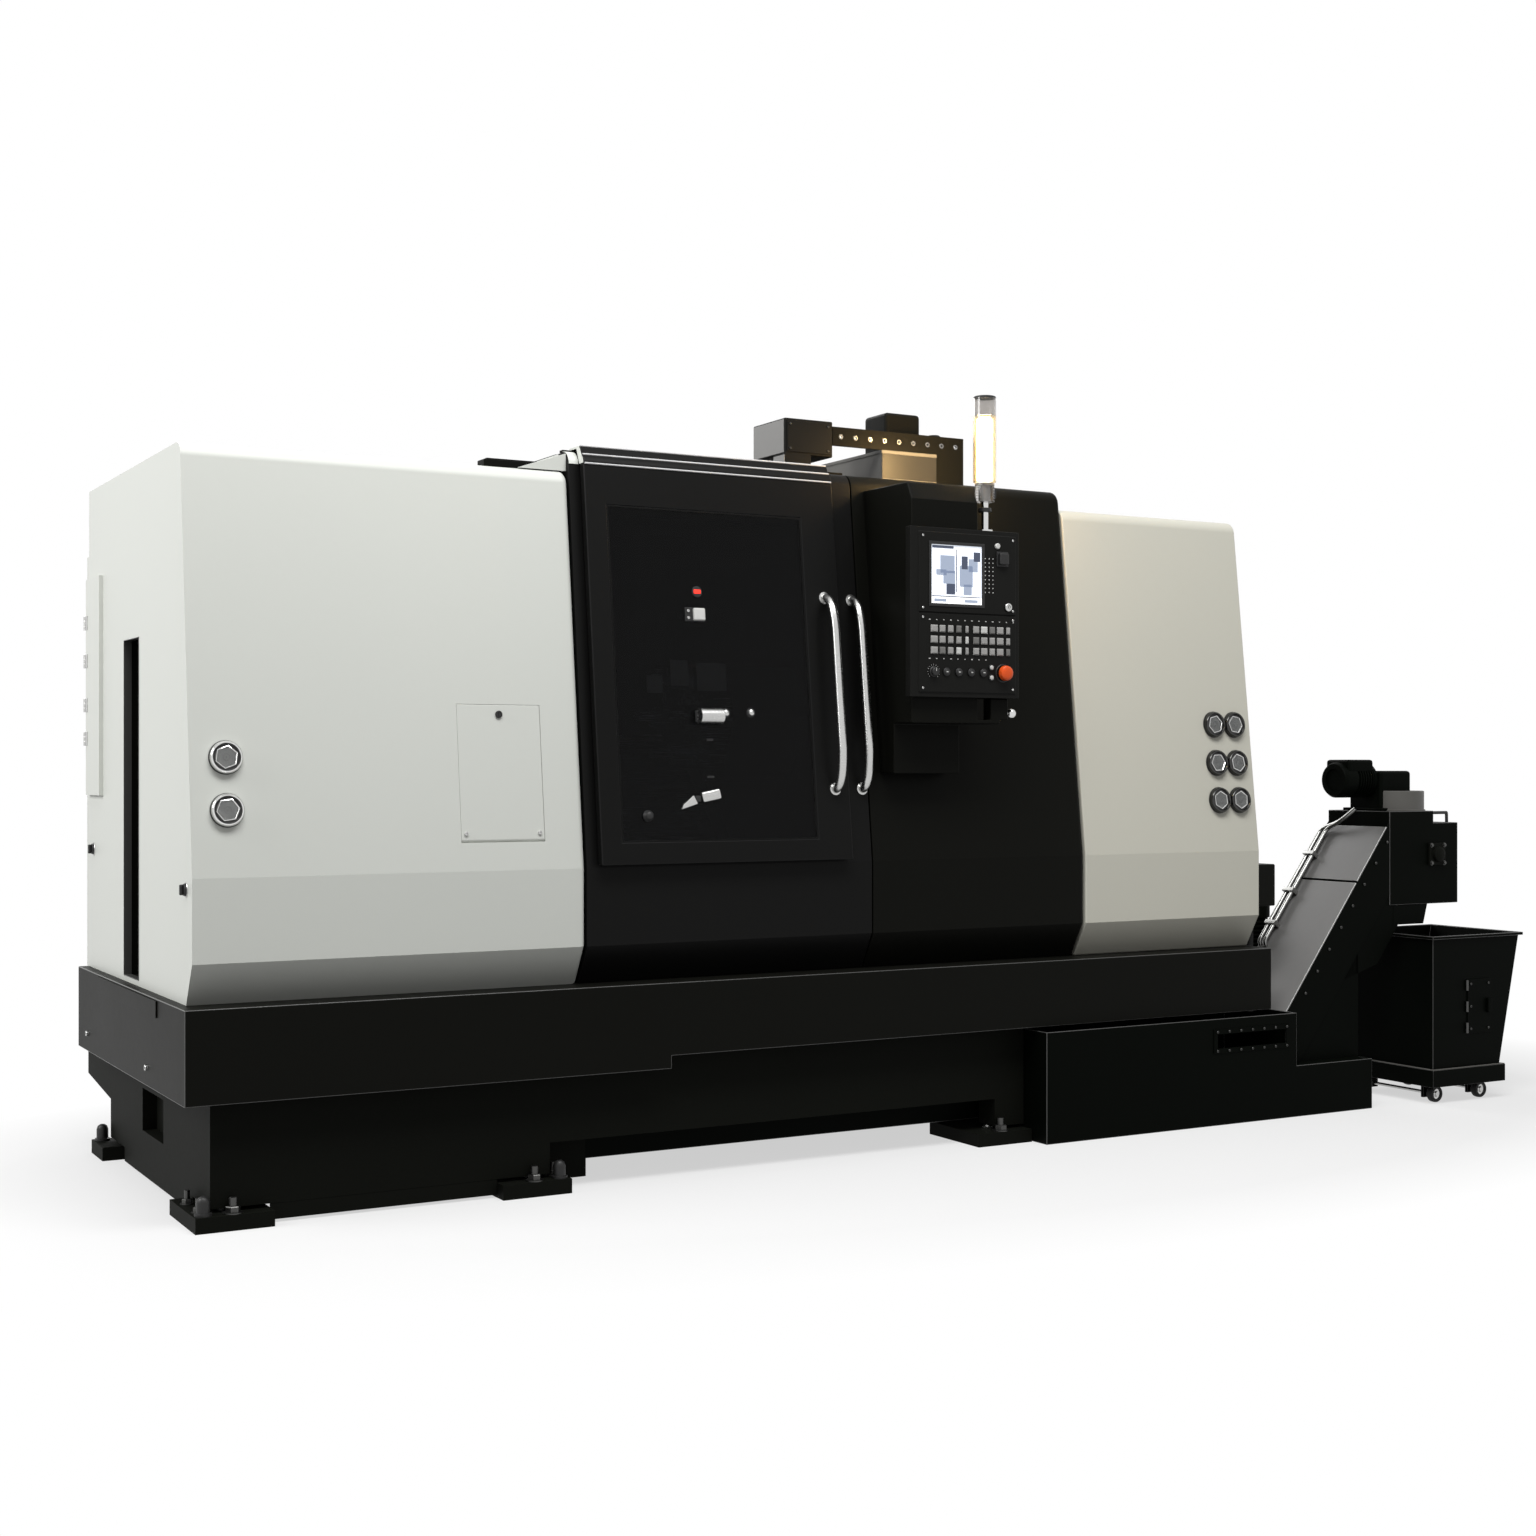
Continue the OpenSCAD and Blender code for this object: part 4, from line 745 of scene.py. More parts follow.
def makeFixings():
    places = []
    for mount in record["mounts"]:
        if mount["kind"] == "bolt_pattern":
            acrossX = mount["dims"].get("spacing_x_mm", 0.0) / 2000
            acrossY = mount["dims"].get("spacing_y_mm", 0.0) / 2000
            for sx in ((-1, 1) if acrossX else (0,)):
                for sy in (-1, 1):
                    places.append((mount["pos_m"][0] + sx * acrossX, mount["pos_m"][1] + sy * acrossY))
    padLow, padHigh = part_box("levelling_pads")
    top = padHigh.z
    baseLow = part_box("base_casting")[0]
    radius, deep = fixings["nut"]
    bright, dark = Shape(), Shape()
    for x, y in places:
        bright.nut(radius, deep, move(x, y, top), fixings["stud"])
    postR, postH = fixings["post"]
    pedestalEnd = baseLow.x + fixings["pedestal"]
    for x in (baseLow.x - fixings["sideIn"], pedestalEnd + fixings["sideIn"]):
        for inward in fixings["sideStuds"]:
            bright.nut(radius * 0.7, deep * 0.75, move(x, padLow.y + inward, top), fixings["stud"])
        for y in (padLow.y + fixings["postIn"], -padLow.y - fixings["postIn"]):
            dark.turned([(0, 0), (postR * 1.3, 0), (postR * 1.3, 0.006), (postR, 0.008), (postR, postH * 0.7),
                         (postR * 0.8, postH * 0.9), (postR * 0.4, postH), (0, postH)], move(x, y, top), 32)
    skirt = Shape()
    low, high = fixings["skirtFoot"], baseLow.z + 0.004
    left, right = fixings["skirts"]
    for y in (baseLow.y, panLow.y + fixings["rearSkirt"]):
        skirt.span((panLow.x + left, y + 0.001, low), (panLow.x + right, y + 0.009, high), 0.002)
    near, far = fixings["endSkirt"]
    skirt.span((baseLow.x + 0.001, panLow.y + near, low), (baseLow.x + 0.009, panLow.y + far, high), 0.002)
    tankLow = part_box("conveyor_tank")[0]
    inward, foot, head, thick = fixings["archPlate"]
    skirt.span((pedestalEnd - 0.004, tankLow.y + inward, foot),
               (tankLow.x + 0.004, tankLow.y + inward + thick, head), 0.001)
    piece("baseSkirt", skirt, "castPaint")
    piece("anchorNuts", bright, "darkSteel")
    piece("jackingPosts", dark, "darkPlastic")


makeFixings()

# door: pale rods along its top as painted highlights of its rounded top edge, seal and fittings of the
# window, bowed handles, rail and corner plates
doorParts = {
    "highlightLines": ((0.1392, 2.0077, 0.0026), (0.1531, 2.0343, 0.0028), (0.1700, 2.0598, 0.0030)),
    "seal": (0.005, 0.0012), "frontOut": 0.034, "paneDown": 0.0035,
    "indicator": (1.471, 1.659, 0.016), "block": (1.472, 1.593), "barrel": (1.450, 1.524, 1.302, 0.022),
    "studs": ((1.544, 1.313), (1.626, 1.315)), "dashes": ((1.488, 1.236), (1.485, 1.131)),
    "lever": ((1.381, 1.042), (1.430, 1.066), (1.450, 1.072), (1.508, 1.083)), "knob": (1.281, 1.023),
    "tiles": ((1.323, 1.392, 0.050, 0.050), (1.403, 1.425, 0.056, 0.074), (1.505, 1.416, 0.094, 0.080)),
    "railEnd": 1.101, "frameEnd": 1.104,
    "corner": {
        "cheek": ((-0.200, 1.990), (-0.205, 2.012), (-0.220, 2.030), (-0.245, 2.0425), (-0.640, 2.0425),
                  (-0.640, 1.990)),
        "fairingIn": 0.1925, "frameTopAt": 1.1050, "frameTopLong": 0.0285,
        "fairing": ((0.957, 1.9885), (1.1035, 1.9885), (1.1035, 2.0380)),
        "frameTop": ((0.1739, 2.0080), (0.1762, 2.0179), (0.1810, 2.0270), (0.1878, 2.0348), (0.1963, 2.0406),
                     (0.2059, 2.0443), (0.2160, 2.0455)),
        "frameSkin": ((0.1726, 2.0082), (0.1750, 2.0184), (0.1799, 2.0278), (0.1869, 2.0358),
                      (0.1957, 2.0418), (0.2056, 2.0456), (0.2160, 2.0468)),
        "doorEnd": ((0.1416, 2.0085), (0.1438, 2.0172), (0.1483, 2.0259), (0.1550, 2.0336), (0.1706, 2.0592),
                    (0.2350, 2.0592), (0.2350, 2.0534), (0.1872, 2.0534), (0.1672, 2.0085)),
    },
    "handleBends": (0.105, 0.080), "handleRadius": 0.0128,
}


def makeDoorParts():
    # pale rods painted as the highlights on the door's rounded top edge
    highlightLines = Shape()
    for y, z, radius in doorParts["highlightLines"]:
        highlightLines.rod((doorLow.x + 0.003, panLow.y + y, z), (doorHigh.x - 0.003, panLow.y + y, z), radius)
    piece("doorTopHighlights", highlightLines, "stripPale", "door")

    low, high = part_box("door_window")
    tall = (high.z - low.z) / math.cos(lean) - 0.002
    bar, depth = doorParts["seal"]
    out = doorParts["frontOut"]
    seal = Shape()
    seal.border(high.x - low.x - 2 * bar, tall - 2 * bar, bar, depth,
                onFace((low.x + high.x) / 2, (low.z + high.z) / 2, out - 0.0022), 0.0005)
    piece("windowSeal", seal, "doorPaint", "door")

    def pane(x, z):
        return onFace(panLow.x + x, z, out - doorParts["paneDown"])

    dark, pale, bright, red, tiles = (Shape() for _ in range(5))
    x, z, radius = doorParts["indicator"]
    dark.drum(radius, 0.005, pane(x, z), 0.0012, 36)
    red.block((0.022, 0.012, 0.0062), pane(x, z), 0.0012, 2)
    x, z = doorParts["block"]
    dark.block((0.062, 0.040, 0.004), pane(x - 0.012, z), 0.0015)
    pale.block((0.036, 0.036, 0.014), pane(x, z), 0.004, 3)
    for drop in (-0.010, 0.010):
        bright.screw(0.0042, pane(x - 0.033, z + drop) @ move(0, 0, 0.004))
    x0, x1, z, radius = doorParts["barrel"]
    bright.drum(radius, x1 - x0, pane(x0, z) @ move(0, 0, radius * 0.8) @ turn(90, "Y") @ turn(90, "Z"),
                0.003, 40)
    dark.block((x1 - x0 + 0.010, radius * 1.5, 0.006), pane((x0 + x1) / 2, z), 0.002)
    for x, z in doorParts["studs"]:
        bright.turned([(0, 0), (0.010, 0), (0.010, 0.004), (0.008, 0.009), (0.004, 0.011), (0, 0.0112)],
                      pane(x, z), 28)
        dark.drum(0.014, 0.003, pane(x, z), 0.001, 28)
    for x, z in doorParts["dashes"]:
        dark.block((0.022, 0.006, 0.004), pane(x, z), 0.001)
    a, b, c, d = doorParts["lever"]
    slope = math.degrees(math.atan2(b[1] - a[1], b[0] - a[0]))
    bright.plate([(0, -0.004), (0.055, -0.013), (0.055, 0.015), (0.012, 0.006)], 0.012,
                 pane(*a) @ turn(slope, "Z"), 0.003)
    slope = math.degrees(math.atan2(d[1] - c[1], d[0] - c[0]))
    bright.block((0.060, 0.030, 0.018), pane(*mid(c, d)) @ turn(slope, "Z"), 0.006, 3)
    dark.block((0.018, 0.018, 0.009), pane(*mid(b, c)), 0.003)
    x, z = doorParts["knob"]
    dark.turned([(0, 0), (0.016, 0), (0.016, 0.006), (0.013, 0.010), (0.010, 0.016), (0.006, 0.018),
                 (0, 0.018)], pane(x, z), 32)
    for x, z, across, upward in doorParts["tiles"]:
        tiles.block((across, upward, 0.0012), pane(x, z), 0.0004, 1)
    piece("paneFittings", dark, "darkPlastic", "door")
    piece("paneBlock", pale, "palePlastic", "door")
    piece("paneMetal", bright, "satinChrome", "door")
    piece("paneIndicator", red, "redLamp", "door")
    piece("paneTiles", tiles, "duskSheet", "door")

    lower, upper = doorParts["handleBends"]
    radius = doorParts["handleRadius"]
    for node in ("door_handle", "grab_handle"):
        low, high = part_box(node)
        x = (low.x + high.x) / 2
        onDoor = out if node == "door_handle" else 0.0
        footLow, footHigh = low.z + radius, high.z - radius
        reach = faceY(high.z) - onDoor - (low.y + (faceY(high.z) - faceY(low.z))) - radius

        def at(z, share):
            return (x, faceY(z) - onDoor - share * reach, z)

        bow = Shape()
        bow.bent([at(footLow, 0.0), at(footLow, 0.28), at(footLow + lower * 0.35, 0.75),
                  at(footLow + lower, 1.0), at(footLow + lower + 0.05, 1.0), at(footHigh - upper - 0.05, 1.0),
                  at(footHigh - upper, 1.0), at(footHigh - upper * 0.3, 0.80), at(footHigh, 0.30),
                  at(footHigh, 0.0)], radius)
        for z in (footLow, footHigh):
            bow.turned([(radius, 0), (radius * 1.45, 0), (radius * 1.4, 0.002), (radius, 0.003)],
                       onFace(x, z, onDoor), 32)
        standIn(node, bow, "satinChrome")

    rail, cheek = Shape(), Shape()
    low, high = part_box("door_rail")
    railEnd, frameEnd = panLow.x + doorParts["railEnd"], panLow.x + doorParts["frameEnd"]
    rail.span((frameEnd, low.y, high.z - 0.007), (high.x, low.y + 0.020, high.z), 0.001)
    rail.span((low.x, low.y, low.z), (railEnd, low.y + 0.050, low.z + 0.022), 0.002)
    rail.span((low.x + 0.01, low.y + 0.006, low.z + 0.021), (railEnd, low.y + 0.020, low.z + 0.026), 0.001)
    standIn("door_rail", rail, "blackPaint")
    corner = doorParts["corner"]
    cheek.plate(corner["cheek"], 0.0022, onLeft(frameEnd, panLow.y, 0), 0.0007)
    cheek.plate(corner["fairing"], 0.002, onFront(panLow.x, panLow.y + corner["fairingIn"], 0), 0.0006)
    inner, outer = corner["frameTop"], corner["frameSkin"]
    cheek.plate(inner + outer[::-1], corner["frameTopLong"],
                onRight(panLow.x + corner["frameTopAt"], panLow.y, 0), 0.0003)
    piece("frameCheek", cheek, "coverPaint")
    cap = Shape()
    cap.plate(corner["doorEnd"], 0.0012, onRight(doorLow.x - 0.0012, panLow.y, 0), 0.0003)
    piece("doorCheek", cap, "coverPaint", "door")


makeDoorParts()
print("base, pan and door details made")

# console: keys, buttons, lamp dots, a square knob, a key switch, screws and the display's rim
console = {
    "keySize": 0.022, "keyPitch": (0.029, 0.032), "keyDepth": 0.0055, "keyRows": 3, "keyGap": (5, 0.004),
    "keyWidths": (1.12, 0.92, 0.86, 0.80, 0.46, 0.96, 1.02, 0.86, 1.06, 0.62),
    "paleKeys": ((4, 1), (3, 2), (6, 0)),
    "darkKeys": ((3, 0), (1, 2), (7, 0), (9, 2), (5, 1)),
    "legends": ((0.226, 13, 0.025), (0.112, 9, 0.025)),
    "lamps": (3, 9, 0.0018, 0.0125),
    "lampsAt": (0.262, 0.312),
    "squareKnob": (0.323, 0.413), "whiteButton": (0.305, 0.451), "keySwitch": (0.344, 0.271),
    "buttons": ((0.122, 0.074), (0.166, 0.074), (0.210, 0.074), (0.254, 0.074)),
    "smallButtons": ((0.283, 0.060), (0.283, 0.090)),
    "screwIn": 0.012, "plateIn": (0.028, 0.014), "splitUnder": 0.028, "legendsFrom": 0.064,
    "lampColumn": 0.014,
}


def makeConsole():
    low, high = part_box("console_box")
    face = low.y

    def spot(u, v):
        return onFront(low.x + u, face, low.z + v)

    keyLow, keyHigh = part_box("console_keys")
    size, (stepX, stepZ), depth = console["keySize"], console["keyPitch"], console["keyDepth"]
    tones = {"greyPlastic": Shape(), "palePlastic": Shape(), "midPlastic": Shape()}
    topRow = keyHigh.z - size / 2
    gapFrom, gap = console["keyGap"]
    for row in range(console["keyRows"]):
        for column, share in enumerate(console["keyWidths"]):
            x = keyLow.x + size / 2 + column * stepX + (gap if column >= gapFrom else 0.0)
            tone = "greyPlastic"
            if (column, row) in console["paleKeys"]:
                tone = "palePlastic"
            elif (column, row) in console["darkKeys"]:
                tone = "midPlastic"
            wide = size * share
            key = onFront(x, face, topRow - row * stepZ)
            tones[tone].block((wide, size * 0.96, depth * 0.7), key, 0.0016, 3)
            tones[tone].block((wide * 0.82, size * 0.78, depth), key, 0.0014, 3)
    rings = Shape()
    for u, v in console["buttons"]:
        rings.sleeve(0.0118, 0.0086, 0.006, spot(u, v), 0.001, 32)
        rings.turned([(0, 0), (0.0084, 0), (0.0084, 0.0068), (0.007, 0.0078), (0, 0.0074)], spot(u, v), 32)
        tones["palePlastic"].block((0.0072, 0.0034, 0.0080), spot(u, v), 0.0005, 1)
    for u, v in console["smallButtons"]:
        rings.sleeve(0.0092, 0.0066, 0.004, spot(u, v), 0.0008, 28)
        tones["palePlastic"].turned([(0, 0), (0.0064, 0), (0.0064, 0.005), (0.005, 0.006), (0, 0.006)],
                                    spot(u, v), 28)
    for tone, name in (("greyPlastic", "keysGrey"), ("palePlastic", "keysPale"), ("midPlastic", "keysMid")):
        piece(name, tones[tone], tone,
              stands=["console_keys"] if name == "keysGrey" else ())
    piece("buttonRings", rings, "darkPlastic")

    dots = Shape()
    columns, rows, radius, step = console["lamps"]
    for i in range(columns):
        for j in range(rows):
            dots.turned([(0, 0), (radius, 0), (radius, 0.0008), (radius * 0.5, 0.0014), (0, 0.0015)],
                        spot(console["lampsAt"][0] + i * console["lampColumn"],
                             console["lampsAt"][1] + j * step), 12)
    for v, count, gap in console["legends"]:
        for i in range(count):
            dots.block((0.0040 if i % 3 else 0.0062, 0.0026, 0.0006),
                       spot(console["legendsFrom"] + i * gap, v), 0.0002, 1)
    piece("lampDots", dots, "palePlastic")

    dark, pale, bright = Shape(), Shape(), Shape()
    dark.block((0.042, 0.044, 0.004), spot(*console["squareKnob"]), 0.002, 3)
    dark.block((0.032, 0.034, 0.016), spot(*console["squareKnob"]), 0.004, 3)
    pale.turned([(0, 0), (0.0085, 0), (0.0085, 0.005), (0.0065, 0.0065), (0, 0.0065)],
                spot(*console["whiteButton"]), 32)
    bright.sleeve(0.012, 0.0068, 0.007, spot(*console["keySwitch"]), 0.0012, 40)
    bright.drum(0.0066, 0.0045, spot(*console["keySwitch"]), 0.0006, 32)
    dark.block((0.0018, 0.008, 0.0052), spot(*console["keySwitch"]), 0.0004, 1)
    edge = console["screwIn"]
    near, far = console["plateIn"]
    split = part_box("lcd_screen")[0].z - low.z - console["splitUnder"]
    for u in (near + edge, high.x - low.x - far - edge):
        for v in (far + edge, split - edge - 0.002, split + edge + 0.002, high.z - low.z - far - edge):
            bright.screw(0.0034, spot(u, v))
    piece("squareKnob", dark, "darkPlastic")
    piece("whiteButton", pale, "palePlastic")
    piece("keySwitch", bright, "satinChrome")

    rim = Shape()
    lcdLow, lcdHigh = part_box("lcd_screen")
    rim.border(lcdHigh.x - lcdLow.x, lcdHigh.z - lcdLow.z, 0.009, 0.0025,
               onFront((lcdLow.x + lcdHigh.x) / 2, face, (lcdLow.z + lcdHigh.z) / 2), 0.0012)
    piece("screenRim", rim, "darkPlastic")


makeConsole()

# display: pale ground with panels, bars and cells
display = {
    # piece: finish, lift, and tiles by their corners as shares of the screen
    "screenPanels": ("screenWhite", 0.0002,
                     ((0.00, 0.00, 1.00, 0.12), (0.02, 0.15, 0.20, 0.50), (0.02, 0.62, 0.16, 0.86),
                      (0.50, 0.13, 0.58, 0.40), (0.30, 0.84, 0.52, 0.92), (0.84, 0.22, 0.97, 0.36),
                      (0.62, 0.84, 0.74, 0.92))),
    "screenBars": ("screenBlue", 0.0005,
                   ((0.02, 0.94, 0.44, 0.985), (0.30, 0.16, 0.47, 0.34), (0.60, 0.60, 0.72, 0.82),
                    (0.84, 0.74, 0.97, 0.90), (0.02, 0.115, 0.98, 0.130), (0.49, 0.20, 0.505, 0.93))),
    "screenCells": ("screenGrey", 0.0004,
                    ((0.18, 0.52, 0.46, 0.82), (0.24, 0.34, 0.47, 0.56), (0.10, 0.48, 0.30, 0.58),
                     (0.56, 0.30, 0.82, 0.66), (0.64, 0.16, 0.80, 0.34), (0.74, 0.56, 0.92, 0.78),
                     (0.06, 0.03, 0.30, 0.08), (0.66, 0.03, 0.92, 0.08))),
}


def makeDisplay():
    low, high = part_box("lcd_screen")
    wide, tall = high.x - low.x, high.z - low.z

    def tile(shape, u0, v0, u1, v1, lift):
        shape.span((low.x + u0 * wide, low.y - lift, low.z + v0 * tall),
                   (low.x + u1 * wide, high.y, low.z + v1 * tall), 0.0001, 1)

    ground = Shape()
    tile(ground, 0, 0, 1, 1, 0)
    standIn("lcd_screen", ground, "screenPale")
    for name, (finish, lift, tiles) in display.items():
        layer = Shape()
        for corners in tiles:
            tile(layer, *corners, lift)
        piece(name, layer, finish)


makeDisplay()


# the pressed, turned and jogged controls
def makeControls():
    low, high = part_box("stop_button")
    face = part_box("console_box")[0].y
    x, _, z = mid(low, high)
    radius = (high.x - low.x) / 2 + 0.0015
    stop = Shape()
    stop.turned([(0, -0.007), (radius * 0.58, -0.007), (radius * 0.58, 0.007), (radius * 0.86, 0.0075),
                 (radius, 0.011), (radius, 0.018), (radius * 0.93, 0.0235), (radius * 0.75, 0.0262),
                 (radius * 0.4, 0.0270), (0, 0.0270)], onFront(x, face, z), 56)
    standIn("stop_button", stop, "stopRed")
    collar = Shape()
    collar.turned([(radius * 1.05, 0), (radius * 1.20, 0), (radius * 1.20, 0.0016), (radius * 1.15, 0.0026),
                   (radius * 1.05, 0.0026), (radius * 1.05, 0)], onFront(x, face, z), 56)
    piece("stopCollar", collar, "darkPlastic")

    low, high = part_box("override_knob")
    x, _, z = mid(low, high)
    radius = (high.x - low.x) / 2
    knob = Shape()
    spot = onFront(x, face, z)
    knob.turned([(0, 0), (radius, 0), (radius, 0.003), (radius * 0.86, 0.0045), (radius * 0.80, 0.0135),
                 (radius * 0.70, 0.0150), (0, 0.0150)], spot, 48)
    for i in range(18):
        knob.block((0.0017, 0.0022, 0.009),
                   spot @ turn(i * 20, "Z") @ move(0, radius * 0.80, 0.0045), 0.0005, 1)
    standIn("override_knob", knob, "darkPlastic")
    mark = Shape()
    mark.block((0.0022, radius * 0.62, 0.0006), spot @ move(0, radius * 0.36, 0.0150), 0.0002, 1)
    piece("overrideMark", mark, "palePlastic", "override_knob")
    scale = Shape()
    for i in range(13):
        scale.block((0.0009, 0.0040 if i % 3 == 0 else 0.0026, 0.0004),
                    spot @ turn(-135 + i * 22.5, "Z") @ move(0, radius + 0.0050, 0), 0.0001, 1)
    piece("overrideScale", scale, "palePlastic")

    low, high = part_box("jog_knob")
    radius = (high.z - low.z) / 2
    spot = onRight(low.x, *mid(low, high)[1:])
    ball = Shape()
    ball.turned([(0, 0), (0.0085, 0), (0.0085, 0.003), (0.006, 0.004), (0.006, 0.0125)]
                + [(radius * math.sin(math.radians(a)), 0.024 - radius * math.cos(math.radians(a)))
                   for a in range(24, 180, 12)] + [(0, 0.024 + radius)], spot, 48)
    standIn("jog_knob", ball, "chrome")


makeControls()

# signal lamp: ribbed collar, glowing core in an amber lens, smoky top and cap
lamp = {"collar": 0.058, "glow": 0.198, "ribs": 7, "core": 0.024, "wall": 0.0025, "cap": 0.006}


def makeLamp():
    low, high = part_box("signal_lamp")
    radius = (high.x - low.x) / 2
    base = move(*mid(low, high)[:2], low.z)
    collar = Shape()
    inner = radius * 0.86
    step = lamp["collar"] / lamp["ribs"]
    profile = [(0.012, 0.0)]
    for i in range(lamp["ribs"]):
        profile += [(inner, i * step), (inner, i * step + step * 0.62),
                    (inner - 0.003, i * step + step * 0.70), (inner - 0.003, i * step + step * 0.95)]
    collar.turned(profile + [(inner - 0.003, lamp["collar"]), (0.012, lamp["collar"])], base, 56)
    piece("lampCollar", collar, "smokeLens")

    stem = Shape()
    stem.drum(0.0125, lamp["collar"] - 0.002, base @ move(0, 0, 0.001), 0.001, 32)
    stem.drum(inner - 0.006, 0.006, base @ move(0, 0, lamp["collar"] - 0.008), 0.001, 40)
    piece("lampStem", stem, "greyPlastic")

    core = Shape()
    core.turned([(0, 0.004), (lamp["core"], 0.006), (lamp["core"], lamp["glow"] - 0.010),
                 (lamp["core"] * 0.7, lamp["glow"] - 0.002), (0, lamp["glow"])],
                base @ move(0, 0, lamp["collar"]), 40)
    piece("lampCore", core, "lampGlow")

    top = high.z - low.z - lamp["cap"]
    wall = lamp["wall"]
    lens = Shape()
    lens.turned([(radius - wall, lamp["collar"] + 0.001), (radius - 0.001, lamp["collar"] + 0.001),
                 (radius, lamp["collar"] + 0.002), (radius, lamp["collar"] + lamp["glow"]),
                 (radius - wall, lamp["collar"] + lamp["glow"]), (radius - wall, lamp["collar"] + 0.001)],
                base, 64)
    standIn("signal_lamp", lens, "amberLens")
    smoke = Shape()
    smoke.turned([(radius - wall, lamp["collar"] + lamp["glow"] + 0.001),
                  (radius, lamp["collar"] + lamp["glow"] + 0.001), (radius, top), (radius - wall, top),
                  (radius - wall, lamp["collar"] + lamp["glow"] + 0.001)], base, 64)
    piece("lampTop", smoke, "smokeLens")
    cap = Shape()
    cap.turned([(0, top), (radius, top), (radius, top + lamp["cap"] * 0.6),
                (radius * 0.96, top + lamp["cap"] * 0.85), (radius * 0.90, top + lamp["cap"]),
                (0, top + lamp["cap"])], base, 56)
    piece("lampCap", cap, "darkPlastic")

    clip = Shape()
    clip.block((0.010, 0.014, 0.030), base @ move(radius * 0.86 + 0.004, 0, 0.012), 0.002)
    clip.sleeve(0.020, 0.0112, 0.012, base @ move(0, 0, -0.030), 0.0015, 36)
    clip.screw(0.004, base @ move(0.020, 0, -0.024) @ turn(90, "Y"))
    piece("lampClip", clip, "darkPlastic")


makeLamp()
print("console, display, controls and signal lamp made")

# roof: duct box lips, plates of the housing and its post, small holes of the bar, and the domes
roof = {"lip": 0.010, "screw": 0.0036, "body": (2.104, 2.214), "postDeep": 0.066, "hole": 0.0062,
        "dome": (2.440, 0.330, 0.028, 2.216)}


def makeRoof():
    low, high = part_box("roof_box")
    middle = (low.x + high.x) / 2
    sheet = Shape()
    for z in (low.z + roof["lip"] / 2, high.z - roof["lip"] / 2):
        sheet.block((high.x - low.x, roof["lip"], 0.002), onFront(middle, low.y, z), 0.0007)
        sheet.block((high.y - low.y, roof["lip"], 0.002), onLeft(low.x, (low.y + high.y) / 2, z), 0.0007)
        sheet.block((high.y - low.y, roof["lip"], 0.002), onRight(high.x, (low.y + high.y) / 2, z), 0.0007)
    piece("roofBoxLips", sheet, "greySheet")
    front = Shape()
    front.block((high.x - low.x - 0.002, high.z - low.z - 2 * roof["lip"] - 0.001, 0.0015),
                onFront(middle, low.y, (low.z + high.z) / 2), 0.0005)
    piece("roofBoxFront", front, "duskSheet")

    low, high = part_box("roof_housing")
    bottom, top = roof["body"]
    middle, height, along = (low.x + high.x) / 2, (bottom + top) / 2, (low.y + high.y) / 2
    plates, grey, screws = Shape(), Shape(), Shape()
    plates.block((high.x - low.x - 0.016, top - bottom - 0.016, 0.003), onFront(middle, low.y, height), 0.001)
    grey.block((high.y - low.y - 0.010, top - bottom - 0.010, 0.002), onLeft(low.x, along, height), 0.0008)
    deep = roof["postDeep"]
    grey.block((deep, bottom - low.z - 0.004, 0.002),
               onLeft(low.x, low.y + deep / 2, (low.z + bottom) / 2), 0.0008)
    piece("housingPlate", plates, "panelSheet")
    piece("housingSides", grey, "plateSheet")
    for sx in (-1, 1):
        for sz in (-1, 1):
            screws.screw(roof["screw"], onFront(middle + sx * ((high.x - low.x) / 2 - 0.018), low.y - 0.003,
                                                height + sz * ((top - bottom) / 2 - 0.018)))
    piece("roofScrews", screws, "darkSteel")

    low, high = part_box("roof_bracket")
    rings, eyelets = Shape(), Shape()
    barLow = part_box("roof_box")[1].z
    step = (high.x - low.x - 0.060) / 8
    for i in range(9):
        spot = onFront(low.x + 0.030 + i * step, low.y + 0.0078, (barLow + high.z) / 2)
        rings.sleeve(0.0150, roof["hole"] + 0.0016, 0.0076, spot, 0.0006, 32)
        eyelets.sleeve(roof["hole"] + 0.0018, roof["hole"] - 0.0020, 0.0078, spot, 0.0006, 32)
    piece("barBushes", rings, "blackPaint")
    piece("barEyelets", eyelets, "zinc")
    x, y, radius, top = roof["dome"]
    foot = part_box("roof_box")[0].z
    dome = Shape()
    dome.turned([(0, 0), (radius, 0), (radius, top - foot - 0.018), (radius * 0.92, top - foot - 0.009),
                 (radius * 0.62, top - foot - 0.002), (0, top - foot)],
                move(panLow.x + x, panLow.y + y, foot), 40)
    low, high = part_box("roof_motor")
    rim = (high.x - low.x) / 2
    dome.turned([(rim * 0.70, 0), (rim * 0.985, 0), (rim * 0.985, 0.004), (rim * 0.94, 0.006),
                 (rim * 0.70, 0.006)], move(*mid(low, high)[:2], high.z - 0.034), 48)
    piece("roofDomes", dome, "blackPaint")


makeRoof()

# working area: lamp and block on the back wall, way covers, chuck and turret fastenings
inside = {
    "lamp": (2.077, 1.766), "block": (2.077, 1.686), "stud": (2.022, 1.691),
    "covers": ((1.130, 1.600, 0.041, "machine"), (1.590, 1.907, 0.045, "saddle")),
    "coverSpan": (0.260, 0.870), "bedOrigin": (0.550, 0.6199), "coverThick": 0.003,
    "discFace": 1.809, "chuckCircle": 0.122, "hubCircle": 0.042, "discCircle": 0.080,
}


